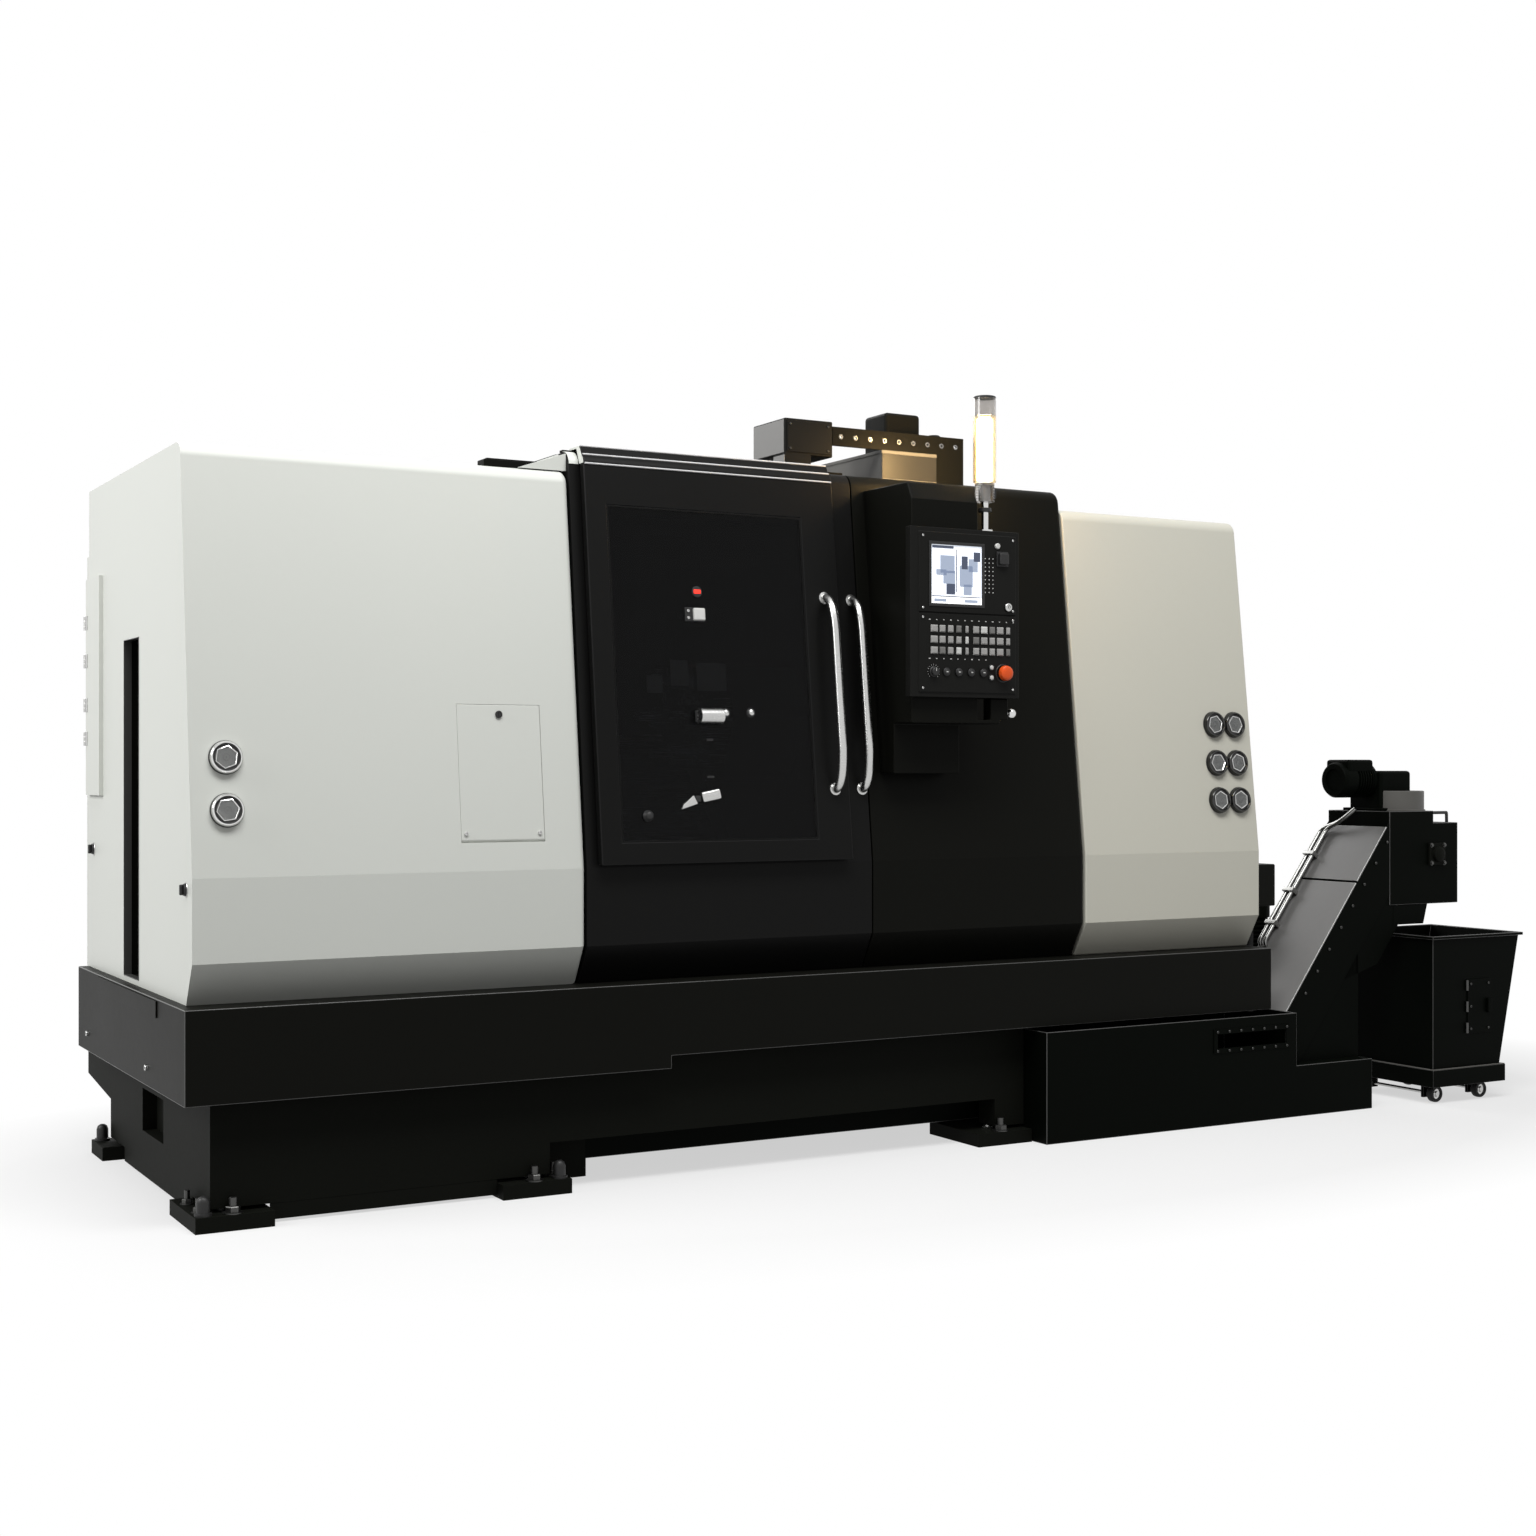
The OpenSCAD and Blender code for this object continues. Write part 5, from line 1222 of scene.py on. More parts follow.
def makeInside():
    wall = insideBack
    red, pale, bright = Shape(), Shape(), Shape()
    x, z = inside["lamp"]
    red.turned([(0, 0.012), (0.013, 0.012), (0.013, 0.020), (0.011, 0.026), (0.006, 0.029), (0, 0.030)],
               onFront(panLow.x + x, wall, z), 40)
    bright.sleeve(0.018, 0.011, 0.014, onFront(panLow.x + x, wall, z), 0.002, 40)
    x, z = inside["block"]
    pale.block((0.050, 0.032, 0.026), onFront(panLow.x + x, wall, z), 0.004, 3)
    x, z = inside["stud"]
    bright.nut(0.010, 0.012, onFront(panLow.x + x, wall, z), 0.010)
    piece("wallLamp", red, "redLamp")
    piece("wallBlock", pale, "palePlastic")

    originY, originZ = inside["bedOrigin"]
    bed = move(panLow.x, panLow.y + originY, originZ) @ turn(45, "X")
    low, high = inside["coverSpan"]
    for i, (start, end, out, body) in enumerate(inside["covers"]):
        cover = Shape()
        cover.block((end - start, high - low, inside["coverThick"]),
                    bed @ move((start + end) / 2, (low + high) / 2, out), 0.001)
        cover.block((0.012, high - low, 0.006), bed @ move(start + 0.008, (low + high) / 2, out), 0.0015)
        piece("wayCover" + str(i + 1), cover, "steel", body)

    joints = {joint["name"]: joint for joint in record["behaviour"]["joints"]}
    spin = Vector(joints["spindle_spin"]["pos_m"])
    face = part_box("chuck")[1].x
    bolts = Shape()
    for y, z in around(6, 30, inside["chuckCircle"]):
        bolts.screw(0.009, onRight(face, spin.y + y, spin.z + z))
    bolts.sleeve(0.044, 0.038, 0.005, onRight(face, spin.y, spin.z), 0.001, 48)
    piece("chuckBolts", bolts, "satinChrome", "spindle")
    for jaw in ("jaw_1", "jaw_2", "jaw_3"):
        corners = [v.co for v in frame["nodes"][jaw].data.vertices]
        middle = sum(corners, Vector()) / len(corners)
        out = Vector((0, middle.y - spin.y, middle.z - spin.z)).normalized()
        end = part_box(jaw)[1].x
        screws = Shape()
        for along in (-0.012, 0.014):
            spot = Vector((0, spin.y, spin.z)) + out * ((middle - spin).dot(out) + along)
            screws.screw(0.0055, onRight(end, spot.y, spot.z))
        piece(jaw + ".screws", screws, "satinChrome", jaw)

    index = Vector(joints["turret_index"]["pos_m"])
    discFace = panLow.x + inside["discFace"]
    hub = Shape()
    hub.turned([(0, 0), (0.058, 0), (0.058, 0.006), (0.052, 0.010), (0.030, 0.010), (0.026, 0.016),
                (0, 0.016)], onLeft(discFace, index.y, index.z), 48)
    for y, z in around(6, 15, inside["hubCircle"]):
        hub.screw(0.006, onLeft(discFace - 0.009, index.y + y, index.z + z))
    for y, z in around(12, 15, inside["discCircle"]):
        hub.screw(0.0055, onLeft(discFace, index.y + y, index.z + z))
    piece("turretHub", hub, "satinChrome", "turret_disc")
    piece("wallFittings", bright, "satinChrome")


makeInside()
print("roof and working area made")

# conveyor: gearbox, motor and can of the drive, bolts, pipes, skirts, rods, bearings, chute and tank rim
conveyor = {
    "slope": 52.7, "trunkDown": 0.040, "boltStep": 0.090, "bolt": 0.0058, "boltCount": 8,
    "boltFrom": (-0.06, -0.030),
    # pipes: off the far side and rise, for each; radius; places of the clamps along the trunk
    "pipes": ((0.012, 0.020), (0.040, 0.022)), "pipe": 0.0075, "clamps": (-0.16, -0.32, -0.46),
    "gear": (0.150, 0.150, 0.140), "gearIn": (0.030, 0.070),
    "motor": (0.062, 0.150), "finCount": 6, "can": (0.100, 0.070), "skirt": 0.100, "trunkDeep": 0.150,
    "gusset": (3.704, 3.980, 0.169, 0.534),
    "loop": (4.361, 4.503, 0.034), "chute": (4.146, 4.292, 0.613),
    "canIn": (0.135, 0.006), "tankSlot": (3.292, 3.592, 0.247, 0.297), "plug": (3.985, 0.100, 0.060),
    "returnPipe": (0.115, 0.640, 0.330, 0.060),
    "flange": (4.350, 0.855, 0.034),
}


def makeConveyor():
    headLow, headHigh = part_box("conveyor_head")
    wide = headHigh.y - headLow.y
    trunk = move(headLow.x, headLow.y, headHigh.z - conveyor["trunkDown"]) @ turn(-conveyor["slope"], "Y")

    bolts, pipes, skirt = Shape(), Shape(), Shape()
    along, down = conveyor["boltFrom"]
    for i in range(conveyor["boltCount"]):
        bolts.screw(conveyor["bolt"] * 0.8, trunk @ onFront(along - i * conveyor["boltStep"], 0.0, down))
    for off, rise in conveyor["pipes"]:
        path = [(0.020, wide * 0.45, 0.030 + rise), (-0.030, wide * 0.62, 0.020 + rise),
                (-0.045, wide - off, rise), (-0.090, wide - off, rise), (-0.500, wide - off, rise),
                (-0.540, wide - off, rise), (-0.545, wide - off, 0.002)]
        pipes.bent([trunk @ Vector(point) for point in path], conveyor["pipe"])
    for along in conveyor["clamps"]:
        pipes.block((0.016, 0.052, 0.030), trunk @ move(along, wide - 0.027, 0.004), 0.002)
    piece("trunkPipes", pipes, "zinc")
    deep, under = conveyor["skirt"], conveyor["trunkDeep"]
    left, right, foot, top = conveyor["gusset"]
    for y in (0.007, wide - 0.004):
        skirt.plate([(-0.055, 0.002 - under), (-0.055, -under - deep * 0.35), (-0.150, -under - deep),
                     (-0.420, -under - deep), (-0.560, 0.002 - under)], 0.003,
                    trunk @ move(0, y, 0) @ turn(90, "X"), 0.0008)
        skirt.plate([(panLow.x + left, foot), (panLow.x + right, foot), (panLow.x + right, top)], 0.003,
                    onFront(0, headLow.y + y, 0), 0.0008)
    piece("trunkSkirts", skirt, "workBlack")
    rod = Shape()
    left, right, rise = conveyor["loop"]
    y = headLow.y + 0.040
    top = headHigh.z - 0.042
    ends = (panLow.x + left, panLow.x + right - 0.055)
    for off in (0.0, wide - 0.080):
        rod.bent([(ends[0], y + off, top - 0.002), (ends[0], y + off, top + rise),
                  (ends[0] + 0.004, y + off, top + rise), (ends[1] - 0.004, y + off, top + rise),
                  (ends[1], y + off, top + rise), (ends[1], y + off, top - 0.002)], 0.0055)
    piece("conveyorLoops", rod, "darkPlastic")

    x, z, radius = conveyor["flange"]
    flange = Shape()
    for spot in (onFront(panLow.x + x, headLow.y, z), onBack(panLow.x + x, headHigh.y, z)):
        flange.block((radius * 2.3, radius * 2.3, 0.010), spot, 0.003)
        flange.turned([(0, 0.010), (radius * 0.8, 0.010), (radius * 0.76, 0.020), (radius * 0.5, 0.024),
                       (0, 0.024)], spot, 40)
        for sx in (-1, 1):
            for sy in (-1, 1):
                bolts.nut(0.006, 0.006, spot @ move(sx * radius * 0.92, sy * radius * 0.92, 0.010))
    piece("conveyorBearings", flange, "castPaint")

    gx, gy = headLow.x + conveyor["gearIn"][0], headLow.y + conveyor["gearIn"][1]
    sizeX, sizeY, sizeZ = conveyor["gear"]
    drive = Shape()
    drive.span((gx, gy, headHigh.z), (gx + sizeX, gy + sizeY, headHigh.z + sizeZ), 0.012, 4)
    drive.block((sizeX + 0.03, sizeY + 0.03, 0.010), move(gx + sizeX / 2, gy + sizeY / 2, headHigh.z), 0.003)
    for i in range(5):
        drive.block((0.006, sizeY * 0.86, sizeZ * 0.8),
                    move(gx + 0.030 + i * 0.0225, gy + sizeY / 2, headHigh.z + 0.018) @ move(0, -0.008, 0),
                    0.002)
    radius, long = conveyor["motor"]
    axisY, axisZ = gy + 0.075, headHigh.z + sizeZ - radius + 0.030
    spot = onLeft(gx, axisY, axisZ)
    shell = [(0, 0), (radius, 0), (radius, 0.012), (radius * 0.90, 0.014)]
    step = (long - 0.080) / conveyor["finCount"]
    shell += fins(conveyor["finCount"], 0.016, step, radius * 0.90, radius, 0.38)
    shell += [(radius * 0.90, long - 0.062), (radius, long - 0.060), (radius, long - 0.010),
              (radius * 0.9, long), (radius * 0.62, long), (radius * 0.62, long - 0.004), (0, long - 0.004)]
    drive.turned(shell, spot, 56)
    drive.block((0.110, 0.120, 0.046), spot @ move(0, 0, 0.072) @ turn(-90, "X") @ move(0, 0, radius * 0.40),
                0.010, 3)
    standIn("conveyor_motor", drive, "workBlack")
    radius, tall = conveyor["can"]
    can = Shape()
    canX, canY = headLow.x + conveyor["canIn"][0], headLow.y + radius + conveyor["canIn"][1]
    can.turned([(0, 0), (radius + 0.004, 0), (radius + 0.004, 0.004), (radius, 0.005), (radius, tall - 0.004),
                (radius - 0.001, tall - 0.001), (radius - 0.004, tall), (radius * 0.5, tall - 0.001),
                (0, tall - 0.001)], move(canX, canY, headHigh.z), 64)
    piece("driveCan", can, "greySheet")

    left, right, low = conveyor["chute"]
    chute = Shape()
    outline = [(panLow.x + left, low), (panLow.x + right, low), (panLow.x + right + 0.02, headLow.z + 0.002),
               (panLow.x + left, headLow.z + 0.002)]
    for y in (headLow.y + 0.006, headHigh.y - 0.003):
        chute.plate(outline, 0.003, onFront(0, y, 0), 0.0008)
    piece("conveyorChute", chute, "workBlack")

    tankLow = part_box("conveyor_tank")[0]
    rim = Shape()
    left, right, z0, z1 = conveyor["tankSlot"]
    x0, x1 = panLow.x + left, panLow.x + right
    rim.border(x1 - x0 - 0.004, z1 - z0 - 0.004, 0.016, 0.003,
               onFront((x0 + x1) / 2, tankLow.y, (z0 + z1) / 2), 0.0008)
    for i in range(7):
        for z in (z0 - 0.006, z1 + 0.006):
            bolts.screw(0.004, onFront(x0 + i * (x1 - x0) / 6, tankLow.y - 0.003, z))
    piece("tankRim", rim, "workBlack")
    plug = Shape()
    x, y, z = conveyor["plug"]
    plug.nut(0.016, 0.016, onRight(panLow.x + x, tankLow.y + y, z))
    piece("tankPlugs", plug, "satinChrome")

    pipe = Shape()
    inward, top, foot, out = conveyor["returnPipe"]
    y, far = apronY + inward, rightWall + out
    pipe.bent([(rightWall, y, top), (rightWall + out / 2, y, top), (far, y, top), (far, y, top - 0.040),
               (far, y, foot + 0.030), (far, y, foot)], 0.014)
    pipe.nut(0.020, 0.014, onRight(rightWall, y, top))
    piece("returnPipe", pipe, "rubber")
    piece("conveyorBolts", bolts, "darkSteel")


makeConveyor()

# coolant pump: flange, finned motor, fan cover, terminal box and a delivery pipe
pump = {"radius": 0.068, "flange": 0.086, "fins": 13, "pipe": 0.017, "riseZ": 0.760, "boltCircle": 0.078}


def makePump():
    low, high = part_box("coolant_pump")
    x, y, _ = mid(low, high)
    radius, tall = pump["radius"], high.z - low.z
    spot = move(x, y, low.z)
    shell = [(0, 0), (pump["flange"], 0), (pump["flange"], 0.014), (pump["flange"] - 0.004, 0.018),
             (radius * 0.72, 0.018), (radius * 0.72, 0.110), (radius, 0.114), (radius, 0.130)]
    step = (tall - 0.220) / pump["fins"]
    shell += fins(pump["fins"], 0.132, step, radius * 0.90, radius * 0.97, 0.35)
    shell += [(radius * 0.90, tall - 0.086), (radius, tall - 0.084), (radius, tall - 0.012),
              (radius * 0.88, tall), (radius * 0.60, tall), (radius * 0.58, tall - 0.004), (0, tall - 0.004)]
    motor = Shape()
    motor.turned(shell, spot, 56)
    motor.block((0.085, 0.075, 0.040), onBack(x, y + radius * 0.88, low.z + 0.215), 0.006, 3)
    standIn("coolant_pump", motor, "castPaint")
    pipe, bolts = Shape(), Shape()
    riseZ = pump["riseZ"]
    pipe.bent([(x - radius * 0.66, y, low.z + 0.060), (x - radius - 0.040, y, low.z + 0.060),
               (x - radius - 0.060, y, low.z + 0.060), (x - radius - 0.060, y, low.z + 0.090),
               (x - radius - 0.060, y, riseZ - 0.030), (x - radius - 0.060, y, riseZ),
               (x - radius - 0.090, y, riseZ), (rightWall, y, riseZ)], pump["pipe"])
    pipe.nut(0.028, 0.020, onRight(rightWall, y, riseZ))
    piece("coolantPipe", pipe, "satinChrome")
    for offX, offY in around(4, 45, pump["boltCircle"]):
        bolts.nut(0.007, 0.007, move(x + offX, y + offY, low.z + 0.018))
    piece("pumpBolts", bolts, "satinChrome")


makePump()

# chip cart: hinged plate on the bin, dolly ledge, and wheels with tyre and hub
cart = {"plate": (4.388, 4.503, 0.234, 0.422), "rim": 0.010, "grown": 0.014, "tyre": 0.026}


def makeCart():
    low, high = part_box("cart_bin")
    front = low.y + cart["rim"]
    left, right, bottom, top = cart["plate"]
    middle, height = panLow.x + (left + right) / 2, (bottom + top) / 2
    plate, bright = Shape(), Shape()
    plate.block((right - left, top - bottom, 0.004), onFront(middle, front, height), 0.0015)
    plate.block((0.020, 0.050, 0.010), onFront(panLow.x + right - 0.014, front - 0.004, height), 0.002)
    piece("binPlate", plate, "workBlack", "cart")
    for part in range(3):
        z = bottom + 0.020 + part * (top - bottom - 0.04) / 2
        bright.rod((panLow.x + left - 0.004, front - 0.004, z - 0.018),
                   (panLow.x + left - 0.004, front - 0.004, z + 0.018), 0.005)
    for sx in (-1, 1):
        for sz in (-1, 0, 1):
            bright.screw(0.0042, onFront(middle + sx * ((right - left) / 2 - 0.014), front - 0.004,
                                         height + sz * ((top - bottom) / 2 - 0.016)))
    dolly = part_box("cart_dolly")
    ledge = Shape()
    edge = cart["grown"]
    ledgeZ = dolly[1].z
    midX, midY, _ = mid(*dolly)
    ledge.border(dolly[1].x - dolly[0].x - 2 * edge + 0.006, dolly[1].y - dolly[0].y - 2 * edge + 0.006,
                 edge - 0.004, 0.003, move(midX, midY, ledgeZ), 0.001)
    piece("dollyLedge", ledge, "greySheet", "cart")
    piece("cartFittings", bright, "darkSteel", "cart")

    for node in ("cart_wheels_left", "cart_wheels_right"):
        low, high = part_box(node)
        radius = (high.z - low.z) / 2
        x, _, z = mid(low, high)
        tyres, hubs = Shape(), Shape()
        width = cart["tyre"]
        for start in (low.y, high.y - width):
            spot = onBack(x, start, z)
            tyres.turned([(radius * 0.62, 0.001), (radius * 0.90, 0.001), (radius * 0.98, width * 0.16),
                          (radius, width * 0.35), (radius, width * 0.65), (radius * 0.98, width * 0.84),
                          (radius * 0.90, width - 0.001), (radius * 0.62, width - 0.001),
                          (radius * 0.62, 0.001)], spot, 48)
            hubs.turned([(0, 0), (radius * 0.26, 0), (radius * 0.26, 0.004), (radius * 0.34, 0.006),
                         (radius * 0.62, 0.005), (radius * 0.62, width - 0.005),
                         (radius * 0.34, width - 0.006), (radius * 0.26, width - 0.004),
                         (radius * 0.26, width), (0, width)], spot, 40)
        hubs.rod((x, low.y + 0.004, z), (x, high.y - 0.004, z), 0.0055)
        standIn(node, tyres, "rubber")
        piece(node + ".hubs", hubs, "satinChrome", node)


makeCart()
print("conveyor, pump and cart made")

# rear cabinet: louvres and locks on the door, filters, main switch, conduits and lifting eyes
cabinet = {"louvres": 9, "slat": (0.260, 0.010, 0.008), "filter": (0.190, 9),
           "conduits": (0.46, 0.54, 1.62, 1.70),
           "eye": 0.016, "leaf": (0.600, 1.400, 0.025), "lockIn": 0.055, "lockEnd": 0.10,
           "louvreIn": 0.22, "louvreRows": (0.12, 0.40), "louvreStep": 0.030, "filterIn": (0.30, 0.34, 0.30),
           "barStep": 0.018}


def makeCabinet():
    low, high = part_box("rear_cabinet")
    leafLow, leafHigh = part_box("cabinet_door")
    left, right, thick = cabinet["leaf"]
    doorX = (low.x + left, low.x + right)
    back = high.y + thick
    slats = Shape()
    wide, tall, deep = cabinet["slat"]
    inward, (lower, upper) = cabinet["louvreIn"], cabinet["louvreRows"]
    for x in (doorX[0] + inward, doorX[1] - inward):
        for base in (leafLow.z + lower, leafHigh.z - upper):
            for i in range(cabinet["louvres"]):
                slats.plate([(0, 0), (0, tall * 1.6), (deep, 0)], wide,
                            onBack(x, back, base + i * cabinet["louvreStep"])
                            @ turn(90, "Y") @ turn(90, "Z") @ move(0, 0, -wide / 2) @ turn(-90, "Z"), 0.0008)
    piece("cabinetLouvres", slats, "coverPaint", "cabinet_door")
    lock = Shape()
    lockX = doorX[0] + cabinet["lockIn"]
    middle = (leafLow.z + leafHigh.z) / 2
    lock.block((0.034, 0.170, 0.012), onBack(lockX, back + 0.006, middle + 0.008), 0.004, 3)
    for z in (leafLow.z + cabinet["lockEnd"], leafHigh.z - cabinet["lockEnd"]):
        lock.drum(0.013, 0.010, onBack(lockX, back, z), 0.002, 32)
        lock.block((0.005, 0.016, 0.013), onBack(lockX, back, z), 0.001)
    piece("cabinetLocks", lock, "darkPlastic", "cabinet_door")

    grilles, frames = Shape(), Shape()
    size, bars = cabinet["filter"]
    inward, lower, upper = cabinet["filterIn"]
    for x in (low.x + inward, high.x - inward):
        for z in (low.z + lower, high.z - upper):
            frames.border(size - 0.03, size - 0.03, 0.022, 0.010, onBack(x, high.y, z), 0.003)
            for i in range(bars):
                grilles.block((size - 0.03, 0.010, 0.007),
                              onBack(x, high.y, z + (i - (bars - 1) / 2) * cabinet["barStep"])
                              @ turn(24, "X"), 0.001)
    piece("filterFrames", frames, "palePlastic")
    piece("filterBars", grilles, "greyPlastic")

    switch, plate, bright = Shape(), Shape(), Shape()
    spotX, spotZ = low.x + 0.30, (low.z + high.z) / 2 + 0.12
    plate.block((0.090, 0.090, 0.004), onBack(spotX, high.y, spotZ), 0.0015)
    switch.drum(0.032, 0.014, onBack(spotX, high.y + 0.004, spotZ), 0.003, 40)
    switch.block((0.016, 0.062, 0.030), onBack(spotX, high.y + 0.004, spotZ), 0.004, 3)
    piece("mainSwitchPlate", plate, "amberPlastic")
    piece("mainSwitch", switch, "stopRed")

    pipes = Shape()
    wall = coverHigh.y
    for off in cabinet["conduits"]:
        x, y = low.x + off, (low.y + high.y) / 2
        pipes.nut(0.024, 0.018, move(x, y, high.z))
        pipes.bent([(x, y, high.z), (x, y, high.z + 0.050), (x, y, high.z + 0.100),
                    (x, y - 0.050, high.z + 0.100), (x, y - 0.090, high.z + 0.100),
                    (x, wall - 0.004, high.z + 0.100)], 0.017)
        pipes.nut(0.024, 0.016, onBack(x, wall, high.z + 0.100))
    piece("cabinetConduits", pipes, "darkPlastic")
    for x in (low.x + 0.09, high.x - 0.09):
        for y in (low.y + 0.07, high.y - 0.07):
            bright.nut(cabinet["eye"] * 1.1, 0.010, move(x, y, high.z))
            ring = cabinet["eye"]
            bright.bent([(x + ring * math.cos(math.radians(a)), y,
                          high.z + 0.008 + ring + ring * math.sin(math.radians(a)))
                         for a in range(-90, 271, 30)], 0.0045)
    for i in range(6):
        z = low.z + 0.06 + i * (high.z - low.z - 0.12) / 5
        for x in (low.x + 0.018, high.x - 0.018):
            bright.screw(0.005, onBack(x, high.y, z))
    piece("cabinetFittings", bright, "satinChrome")


makeCabinet()

# right end and back: service panels with louvres, catches and screws, and ribs on the enclosure
service = {"endPanel": (0.380, 1.080, 0.800, 1.640), "backPanel": (2.930, 3.450, 0.860, 1.620),
           "rise": 0.003, "ribs": (2.110, 2.800), "ribHeights": (0.900, 1.300, 1.700),
           "louvres": (10, 12), "louvreStep": 0.026, "louvreTilt": 28}


def makeService():
    near, far, low, high = service["endPanel"]
    sheet, dark, bright = Shape(), Shape(), Shape()
    middle, height = panLow.y + (near + far) / 2, (low + high) / 2
    sheet.block((far - near, high - low, service["rise"]), onRight(rightWall, middle, height), 0.0012)
    step, tilt = service["louvreStep"], service["louvreTilt"]
    for i in range(service["louvres"][0]):
        sheet.block((0.300, 0.009, 0.007),
                    onRight(rightWall + service["rise"], middle, low + 0.10 + i * step) @ turn(tilt, "X"),
                    0.001)
    for y in (panLow.y + near + 0.035, panLow.y + far - 0.035):
        for z in (low + 0.06, height, high - 0.06):
            dark.drum(0.012, 0.005, onRight(rightWall + service["rise"], y, z), 0.001, 28)
            bright.block((0.0026, 0.013, 0.0062), onRight(rightWall + service["rise"], y, z), 0.0005, 1)
    left, right, low, high = service["backPanel"]
    across, height = panLow.x + (left + right) / 2, (low + high) / 2
    sheet.block((right - left, high - low, service["rise"]), onBack(across, endHigh.y, height), 0.0012)
    for i in range(service["louvres"][1]):
        sheet.block((0.320, 0.009, 0.007),
                    onBack(across, endHigh.y + service["rise"], high - 0.10 - i * step) @ turn(tilt, "X"),
                    0.001)
    for x in (panLow.x + left + 0.03, panLow.x + right - 0.03):
        for z in (low + 0.05, height, high - 0.05):
            bright.screw(0.005, onBack(x, endHigh.y + service["rise"], z))
    piece("servicePanels", sheet, "endPaint")
    piece("serviceCatches", dark, "darkPlastic")

    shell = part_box("enclosure")
    ribs = Shape()
    first, last = (panLow.x + x for x in service["ribs"])
    for z in service["ribHeights"]:
        ribs.block((last - first, 0.034, 0.006), onBack((first + last) / 2, shell[1].y, z), 0.002)
        for i in range(6):
            bright.screw(0.0048, onBack(first + 0.03 + i * (last - first - 0.06) / 5, shell[1].y + 0.006, z))
    for x in (first + 0.017, last - 0.017):
        ribs.block((0.034, 0.960, 0.0055), onBack(x, shell[1].y, 1.300), 0.002)
    piece("backRibs", ribs, "blackPaint")
    piece("serviceScrews", bright, "satinChrome")


makeService()
print("cabinet, right end and back made;", len(pieces), "pieces")

# pale floor with the machine's shadow, soft light, and the photograph's camera
studio = {
    "floor": 60.0, "floorTone": 0.27, "floorGlow": 0.60,
    "whiteFrom": (0.9, 1.5), "whiteMiddle": (1.05, 0.0), "whiteReach": (2.9, 1.55),
    "worldLight": 0.24,
    "cameraAt": (-2.5466, -5.726, 1.1565), "cameraTurn": (90.0, 0.0, -29.548), "lens": 47.925,
    "lamps": {
        # name: place, aim, width and length, watts, colour
        "keyLamp": ((-0.3, -3.4, 6.2), (0.3, -0.5, 1.3), (6.0, 2.0), 430.0, (1.0, 1.0, 1.0)),
        "leftLamp": ((-6.0, 0.2, 4.0), (-1.3, 0.1, 1.2), (3.0, 3.0), 275.0, (1.0, 1.0, 1.0)),
        "backLamp": ((1.0, 5.8, 4.6), (0.9, 0.6, 1.0), (4.0, 3.0), 190.0, (1.0, 1.0, 1.0)),
        "warmSpill": ((1.036, -0.675, 2.11), (1.0, -0.389, 2.07), (0.05, 0.18), 5.5, (1.0, 0.64, 0.26)),
    },
}


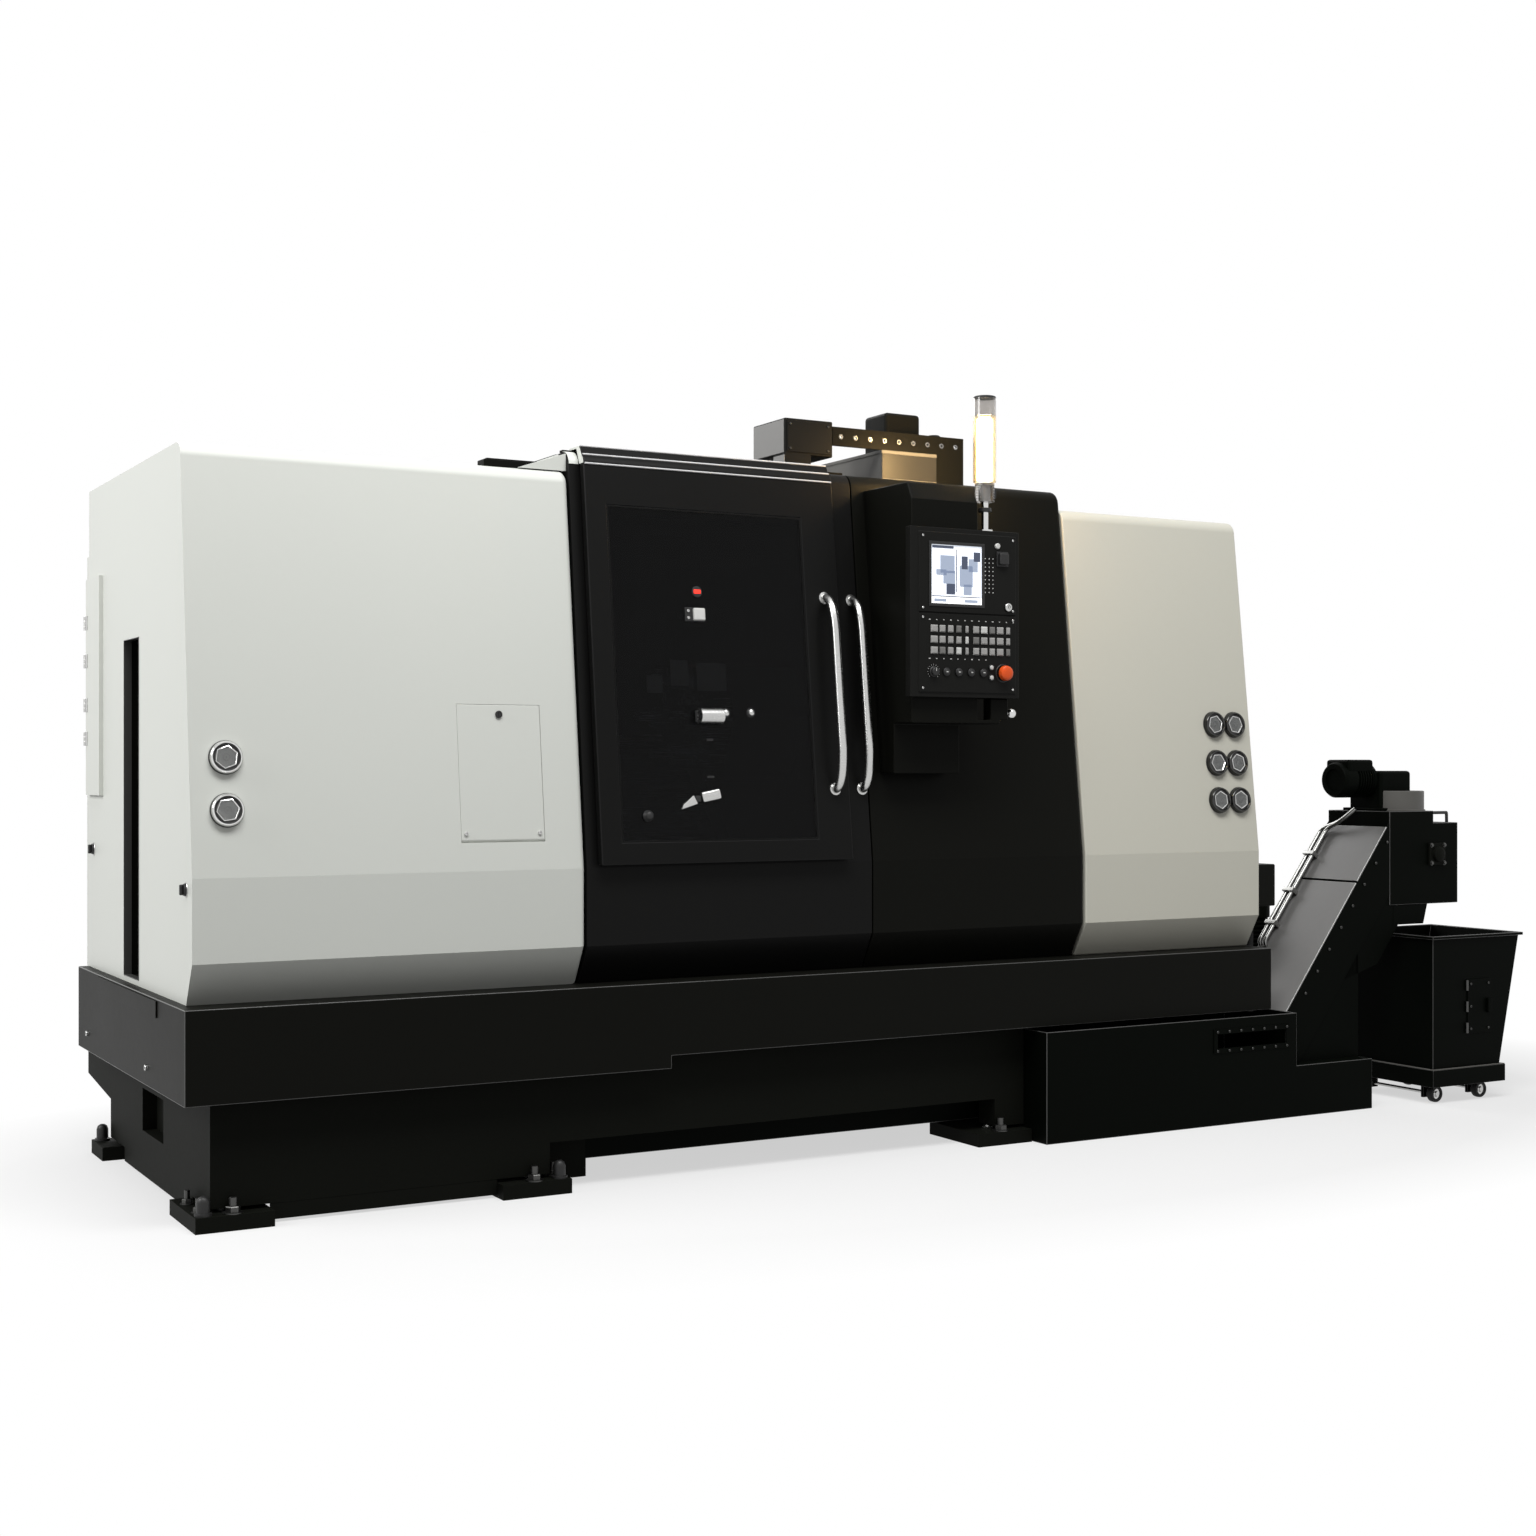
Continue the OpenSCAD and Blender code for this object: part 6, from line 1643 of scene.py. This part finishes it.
def makeFloor():
    kit = Finish("studioFloor", Roughness=0.9, Specular_IOR_Level=0.0)
    tone = studio["floorTone"]
    cloud = kit.noise(kit.place(), 0.8, 2)
    kit.set("Base Color", kit.blend(cloud, (tone,) * 3, (tone * 1.01,) * 3))
    path = kit.tree.nodes.new("ShaderNodeLightPath")
    straight, glossy, through = (Wire(kit, path.outputs["Is " + kind + " Ray"])
                                 for kind in ("Camera", "Glossy", "Transmission"))
    seen = straight + glossy + through
    glow = kit.node("ShaderNodeEmission", None, {"Strength": (seen > 0.5) * studio["floorGlow"]})
    near = kit.node("ShaderNodeAddShader", None, {0: Wire(kit, kit.shader.outputs[0]), 1: glow})
    x, y, _ = kit.axes()
    (midX, midY), (reachX, reachY) = studio["whiteMiddle"], studio["whiteReach"]
    offX, offY = (x - midX) / reachX, (y - midY) / reachY
    far = kit.spread(offX * offX + offY * offY, *studio["whiteFrom"]) * (seen > 0.5)
    white = kit.node("ShaderNodeEmission", None, {"Strength": 1.0})
    both = kit.node("ShaderNodeMixShader", None, {0: far, 1: near, 2: white})
    kit.tree.links.new(both.socket, kit.output.inputs["Surface"])
    bm = bmesh.new()
    bmesh.ops.create_grid(bm, x_segments=2, y_segments=2, size=studio["floor"] / 2)
    mesh = bpy.data.meshes.new("studioFloor")
    bm.to_mesh(mesh)
    bm.free()
    mesh.materials.append(kit.material)
    floor = bpy.data.objects.new("studioFloor", mesh)
    bpy.context.scene.collection.objects.link(floor)


def makeWorld():
    world = bpy.data.worlds.new("studioWorld")
    bpy.context.scene.world = world
    world.use_nodes = True
    tree = world.node_tree
    back = tree.nodes["Background"]
    path = tree.nodes.new("ShaderNodeLightPath")
    first = tree.nodes.new("ShaderNodeMath")
    second = tree.nodes.new("ShaderNodeMath")
    level = tree.nodes.new("ShaderNodeMapRange")
    tree.links.new(path.outputs["Is Camera Ray"], first.inputs[0])
    tree.links.new(path.outputs["Is Glossy Ray"], first.inputs[1])
    tree.links.new(first.outputs[0], second.inputs[0])
    tree.links.new(path.outputs["Is Transmission Ray"], second.inputs[1])
    tree.links.new(second.outputs[0], level.inputs["Value"])
    level.inputs["To Min"].default_value = studio["worldLight"]
    level.inputs["To Max"].default_value = 1.0
    tree.links.new(level.outputs[0], back.inputs["Strength"])
    back.inputs["Color"].default_value = (1.0, 1.0, 1.0, 1.0)


def makeCameraAndLamps():
    scene = bpy.context.scene
    for name, (at, aim, size, watts, colour) in studio["lamps"].items():
        light = bpy.data.lights.new(name, "AREA")
        light.shape = "RECTANGLE"
        light.size, light.size_y = size
        light.energy = watts
        light.color = colour
        made = bpy.data.objects.new(name, light)
        made.location = at
        made.rotation_euler = (Vector(aim) - Vector(at)).to_track_quat("-Z", "Y").to_euler()
        scene.collection.objects.link(made)
    camera = bpy.data.cameras.new("camera")
    camera.lens = studio["lens"]
    camera.sensor_width = 36.0
    seat = bpy.data.objects.new("camera", camera)
    seat.location = studio["cameraAt"]
    seat.rotation_euler = [math.radians(a) for a in studio["cameraTurn"]]
    scene.collection.objects.link(seat)
    scene.camera = seat
    scene.view_settings.view_transform = "Standard"


makeFloor()
makeWorld()
makeCameraAndLamps()
print("studio: camera, floor and", len(studio["lamps"]), "lamps")
